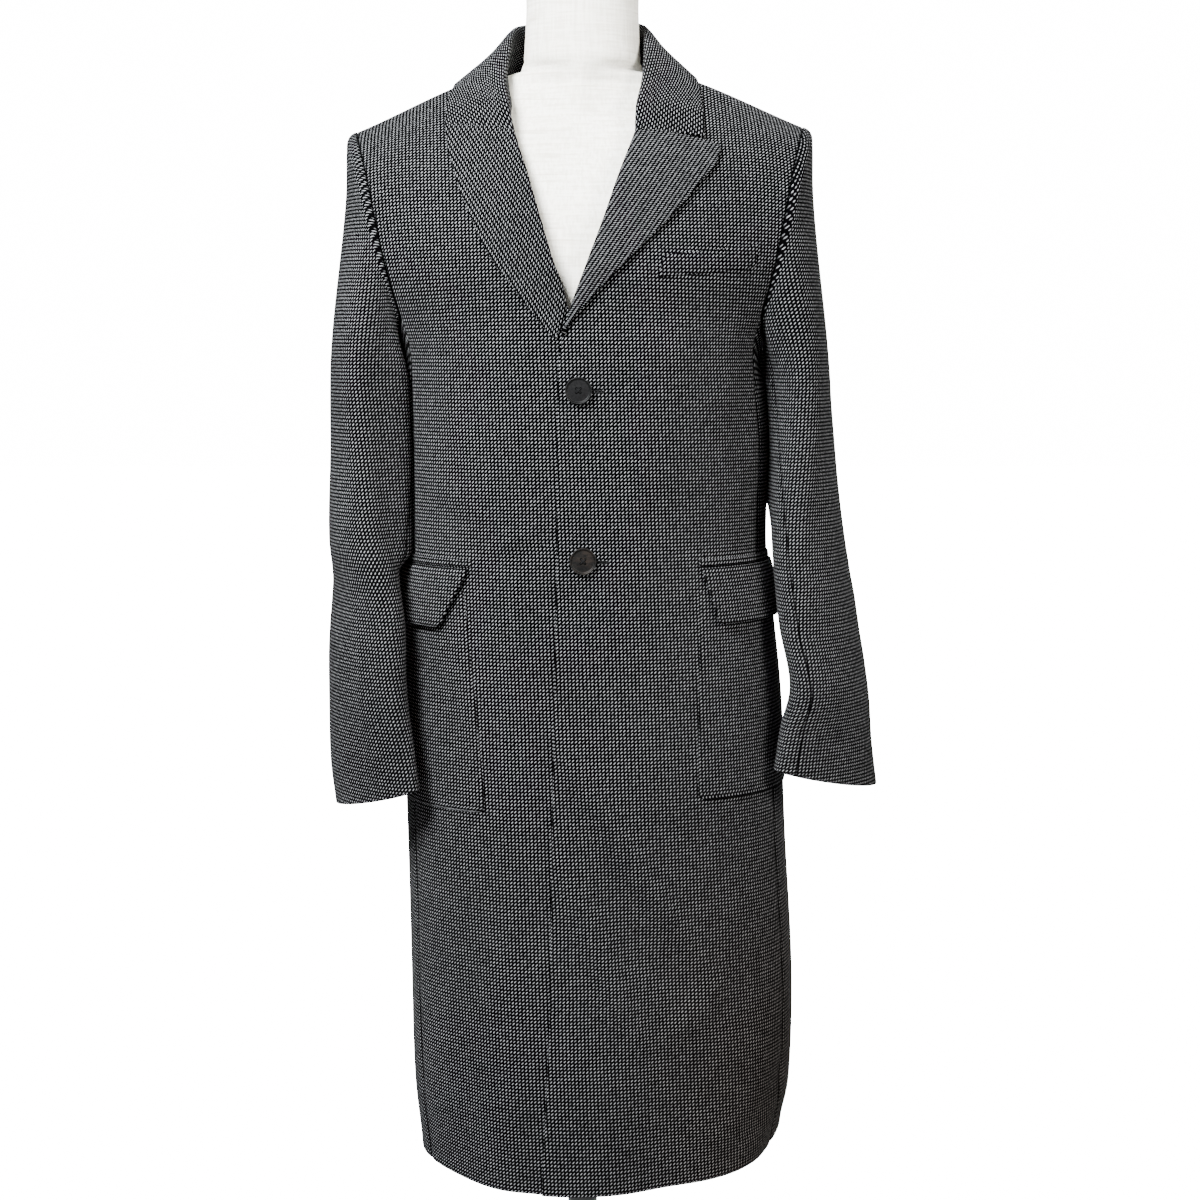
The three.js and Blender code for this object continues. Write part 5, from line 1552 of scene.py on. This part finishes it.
def makeButton(name, spec, horn):
    radius, thick = buttons["radius"] * metre, buttons["thick"] * metre
    obj = addCylinder(name, radius, thick, (0, 0, thick / 2), 72)
    top = thick - 1e-5
    selectFaces(obj, lambda f: f.normal.z > 0.9 and f.center.z > top - 1e-4)
    # raised rim, then a shallow dish inside it
    for share, move in buttons["steps"]:
        bpy.ops.mesh.inset(thickness=radius * share)
        if move:
            bpy.ops.transform.translate(value=(0, 0, move * metre))
    bpy.ops.object.mode_set(mode="OBJECT")
    addModifier(obj, "BEVEL", width=0.0007, segments=4, limit_method="ANGLE", angle_limit=math.radians(35))
    step = buttons["holeStep"] * metre
    for x, y in ((-1, -1), (1, -1), (1, 1), (-1, 1)):
        drill = addCylinder("drill", buttons["holeRadius"] * metre, 0.02, (x * step, y * step, 0), 20)
        bpy.ops.object.select_all(action="DESELECT")
        addModifier(obj, "BOOLEAN", operation="DIFFERENCE", solver="EXACT", object=drill)
        bpy.data.objects.remove(drill, do_unlink=True)
    obj.data.materials.clear()
    obj.data.materials.append(horn)
    # two crossed strands of thread, and the shank behind
    strands = []
    sizes = {key: value * metre for key, value in buttons["strand"].items()}
    for quarter in (45, 135):
        strand = addCylinder("strand", sizes["radius"], sizes["length"], (0, 0, 0), 12)
        bpy.ops.object.mode_set(mode="EDIT")
        bpy.ops.mesh.select_all(action="SELECT")
        bpy.ops.mesh.subdivide(number_cuts=6)
        bpy.ops.object.mode_set(mode="OBJECT")
        for vertex in strand.data.vertices:
            x, y, z = vertex.co
            bow = sizes["bow"] * (1 - (z / sizes["length"] * 2) ** 2)
            vertex.co = (z, y, x + bow)
        strand.rotation_euler = (0, 0, math.radians(quarter))
        strand.location = (0, 0, thick - sizes["sunk"])
        strand.select_set(True)
        bpy.ops.object.transform_apply(location=True, rotation=True, scale=True)
        strand.data.materials.append(sewingThread)
        strands.append(strand)
    radius, high, z = (value * metre for value in buttons["shank"].values())
    shank = addCylinder("shank", radius, high, (0, 0, z), 24)
    shank.data.materials.append(sewingThread)
    bpy.ops.object.select_all(action="DESELECT")
    for each in (*strands, shank, obj):
        each.select_set(True)
    bpy.context.view_layer.objects.active = obj
    bpy.ops.object.join()
    spot = panels["left"]["front"]
    spot = spot.at(*spot.locate(spec["x"], spec["z"], 0.1))
    normal = Vector(unit(spot[3:]))
    turn = Vector((0, 0, 1)).rotation_difference(normal)
    obj.rotation_mode = "QUATERNION"
    obj.rotation_quaternion = turn
    obj.location = Vector(spot[:3] * metre) + normal * buttons["standOff"] * metre
    bpy.ops.object.transform_apply(location=True, rotation=True, scale=True)
    bpy.ops.object.shade_smooth_by_angle(angle=math.radians(40))
    return obj


# Worked buttonhole: a low oval ridge of thread on the front.
def makeButtonhole(name, spec):
    panel = panels["left"]["front"]
    x0, x1, z = spec["x"] - 1, spec["x"] + buttons["holeX"], spec["z"]
    spots = []
    count, sides = 48, 8
    for k in range(count):
        angle = 2 * math.pi * k / count
        reach = math.copysign(abs(math.cos(angle)) ** 0.35, math.cos(angle))
        x = (x0 + x1) / 2 + (x1 - x0) / 2 * reach
        found = panel.at(*panel.locate(x, z - 1.1 + 0.95 * math.sin(angle), 0.1))
        spots.append((found[:3], unit(found[3:])))
    vertices, faces = [], []
    for k, (p, n) in enumerate(spots):
        ahead, behind = spots[(k + 1) % count][0], spots[k - 1][0]
        along = unit(ahead - behind)
        aside = unit(np.cross(along, n))
        for s in range(sides):
            angle = 2 * math.pi * s / sides
            ridge = 0.62 * (1 + 0.14 * (k % 2))
            vertices.append((p + n * (0.15 + ridge * math.cos(angle)) + aside * ridge * math.sin(angle)))
            here, there, onward = k * sides, (k + 1) % count * sides, (s + 1) % sides
            faces.append([here + s, here + onward, there + onward, there + s])
    mesh = newMesh(name, vertices, faces)
    mesh.materials.append(sewingThread)
    obj = newObject(name, mesh)
    selectOnly(obj)
    bpy.ops.object.mode_set(mode="EDIT")
    bpy.ops.mesh.select_all(action="SELECT")
    bpy.ops.mesh.normals_make_consistent(inside=False)
    bpy.ops.object.mode_set(mode="OBJECT")
    return obj


buttonUpper = makeButton("coat_button_upper", buttons["upper"], hornDark)
buttonLower = makeButton("coat_button_lower", buttons["lower"], hornBrown)
holeUpper = makeButtonhole("coat_buttonhole_upper", buttons["upper"])
holeLower = makeButtonhole("coat_buttonhole_lower", buttons["lower"])

pole = addCylinder("stand_tube", stand["poleRadius"] * metre, (stand["poleHigh"] - stand["poleLow"]) * metre,
                   (0, 0, (stand["poleHigh"] + stand["poleLow"]) / 2 * metre), 64)
addModifier(pole, "BEVEL", width=0.0012, segments=3, limit_method="ANGLE", angle_limit=math.radians(40))
base = addCylinder("stand_base", stand["baseRadius"] * metre, stand["baseThick"] * metre,
                   (0, 0, stand["baseThick"] / 2 * metre), 128)
selectFaces(base, lambda f: f.normal.z > 0.9)
bpy.ops.mesh.inset(thickness=(stand["baseRadius"] - stand["hubRadius"]) * metre)
bpy.ops.transform.translate(value=(0, 0, stand["rise"] * metre))
bpy.ops.mesh.inset(thickness=(stand["hubRadius"] - stand["poleRadius"] - stand["collarWide"]) * metre)
bpy.ops.transform.translate(value=(0, 0, stand["cone"] * metre))
bpy.ops.mesh.extrude_region_move(TRANSFORM_OT_translate={"value": (0, 0, stand["collarHigh"] * metre)})
bpy.ops.object.mode_set(mode="OBJECT")
addModifier(base, "BEVEL", width=0.002, segments=4, limit_method="ANGLE", angle_limit=math.radians(35))
for obj in (pole, base):
    obj.data.materials.clear()
    obj.data.materials.append(standPaint)
    selectOnly(obj)
    bpy.ops.object.shade_smooth_by_angle(angle=math.radians(35))
print("buttons and stand made")


# Each piece hangs under the root, and the nodes of the part that it replaces are hidden
for name in wearerSides:
    pieces = panels[name]["pieces"]
    pieces["lapel"] = coatLapels[name]
    for key, node, held, restsOn in (
            ("front", "front", "hung", ("dress_form",)), ("back", "back", "hung", ("dress_form",)),
            ("side", "side", "hung", ("dress_form",)),
            ("topSleeve", "top_sleeve", "hung", (f"coat_front_{name}", f"coat_back_{name}")),
            ("underSleeve", "under_sleeve", "hung", (f"coat_side_{name}",)),
            ("pocket", "pocket", "laid", (f"coat_front_{name}", f"coat_side_{name}")),
            ("flap", "flap", "laid", (f"coat_pocket_{name}",)),
            ("flapWelt", "flap_welt", "laid", ()),
            ("lapel", "lapel", "folded", (f"coat_front_{name}",))):
        declare(pieces[key], [f"{node}_{name}"])
declare(coatCollar, ["collar"])
declare(breastWelt, ["breast_welt"])
for obj, nodes, slotName in (
        (buttonUpper, ["button_upper"], "button_horn"),
        (buttonLower, ["button_lower"], "button_horn"),
        (holeUpper, [], "coat_cloth"), (holeLower, [], "coat_cloth"),
        (formTorso, ["dress_form"], "form_linen"),
        (pole, ["stand_pole"], "stand_steel"), (base, ["base_plate"], "stand_steel")):
    declare(obj, nodes)


# Stage, lights and camera
bpy.ops.object.select_all(action="DESELECT")
bpy.ops.mesh.primitive_plane_add(size=40, location=(0, 0, 0))
floor = bpy.context.object
floor.name = "studio_floor"
floor.data.materials.append(makeFloorMaterial())

world = bpy.data.worlds.new("studio")
bpy.context.scene.world = world
world.use_nodes = True
tree = world.node_tree
tree.nodes.clear()
lightPath = tree.nodes.new("ShaderNodeLightPath")
seen, lights = tree.nodes.new("ShaderNodeBackground"), tree.nodes.new("ShaderNodeBackground")
seen.inputs["Strength"].default_value = light["seen"]
lights.inputs["Strength"].default_value = light["world"]
mix, out = tree.nodes.new("ShaderNodeMixShader"), tree.nodes.new("ShaderNodeOutputWorld")
tree.links.new(lightPath.outputs["Is Camera Ray"], mix.inputs[0])
tree.links.new(lights.outputs[0], mix.inputs[1])
tree.links.new(seen.outputs[0], mix.inputs[2])
tree.links.new(mix.outputs[0], out.inputs[0])

for name in ("key", "fill", "back"):
    spec = light[name]
    lamp = bpy.data.lights.new(f"{name}_light", "AREA")
    lamp.shape = "DISK"
    lamp.size = spec["size"]
    lamp.energy = spec["power"]
    lamp.color = spec["tint"]
    obj = newObject(f"{name}_light", lamp)
    obj.location = spec["place"]
    aim = Vector((0, 0, 0.95)) - Vector(spec["place"])
    obj.rotation_euler = aim.to_track_quat("-Z", "Y").to_euler()

lens = bpy.data.cameras.new("photo_camera")
lens.lens = camera["lens"]
lens.sensor_width = camera["sensor"]
lens.sensor_fit = "HORIZONTAL"
lens.clip_end = 60
viewer = newObject("photo_camera", lens)
viewer.location = camera["place"]
viewer.rotation_euler = (math.radians(90 - camera["tiltDown"]), 0, 0)
bpy.context.scene.camera = viewer
print("lights and camera set")
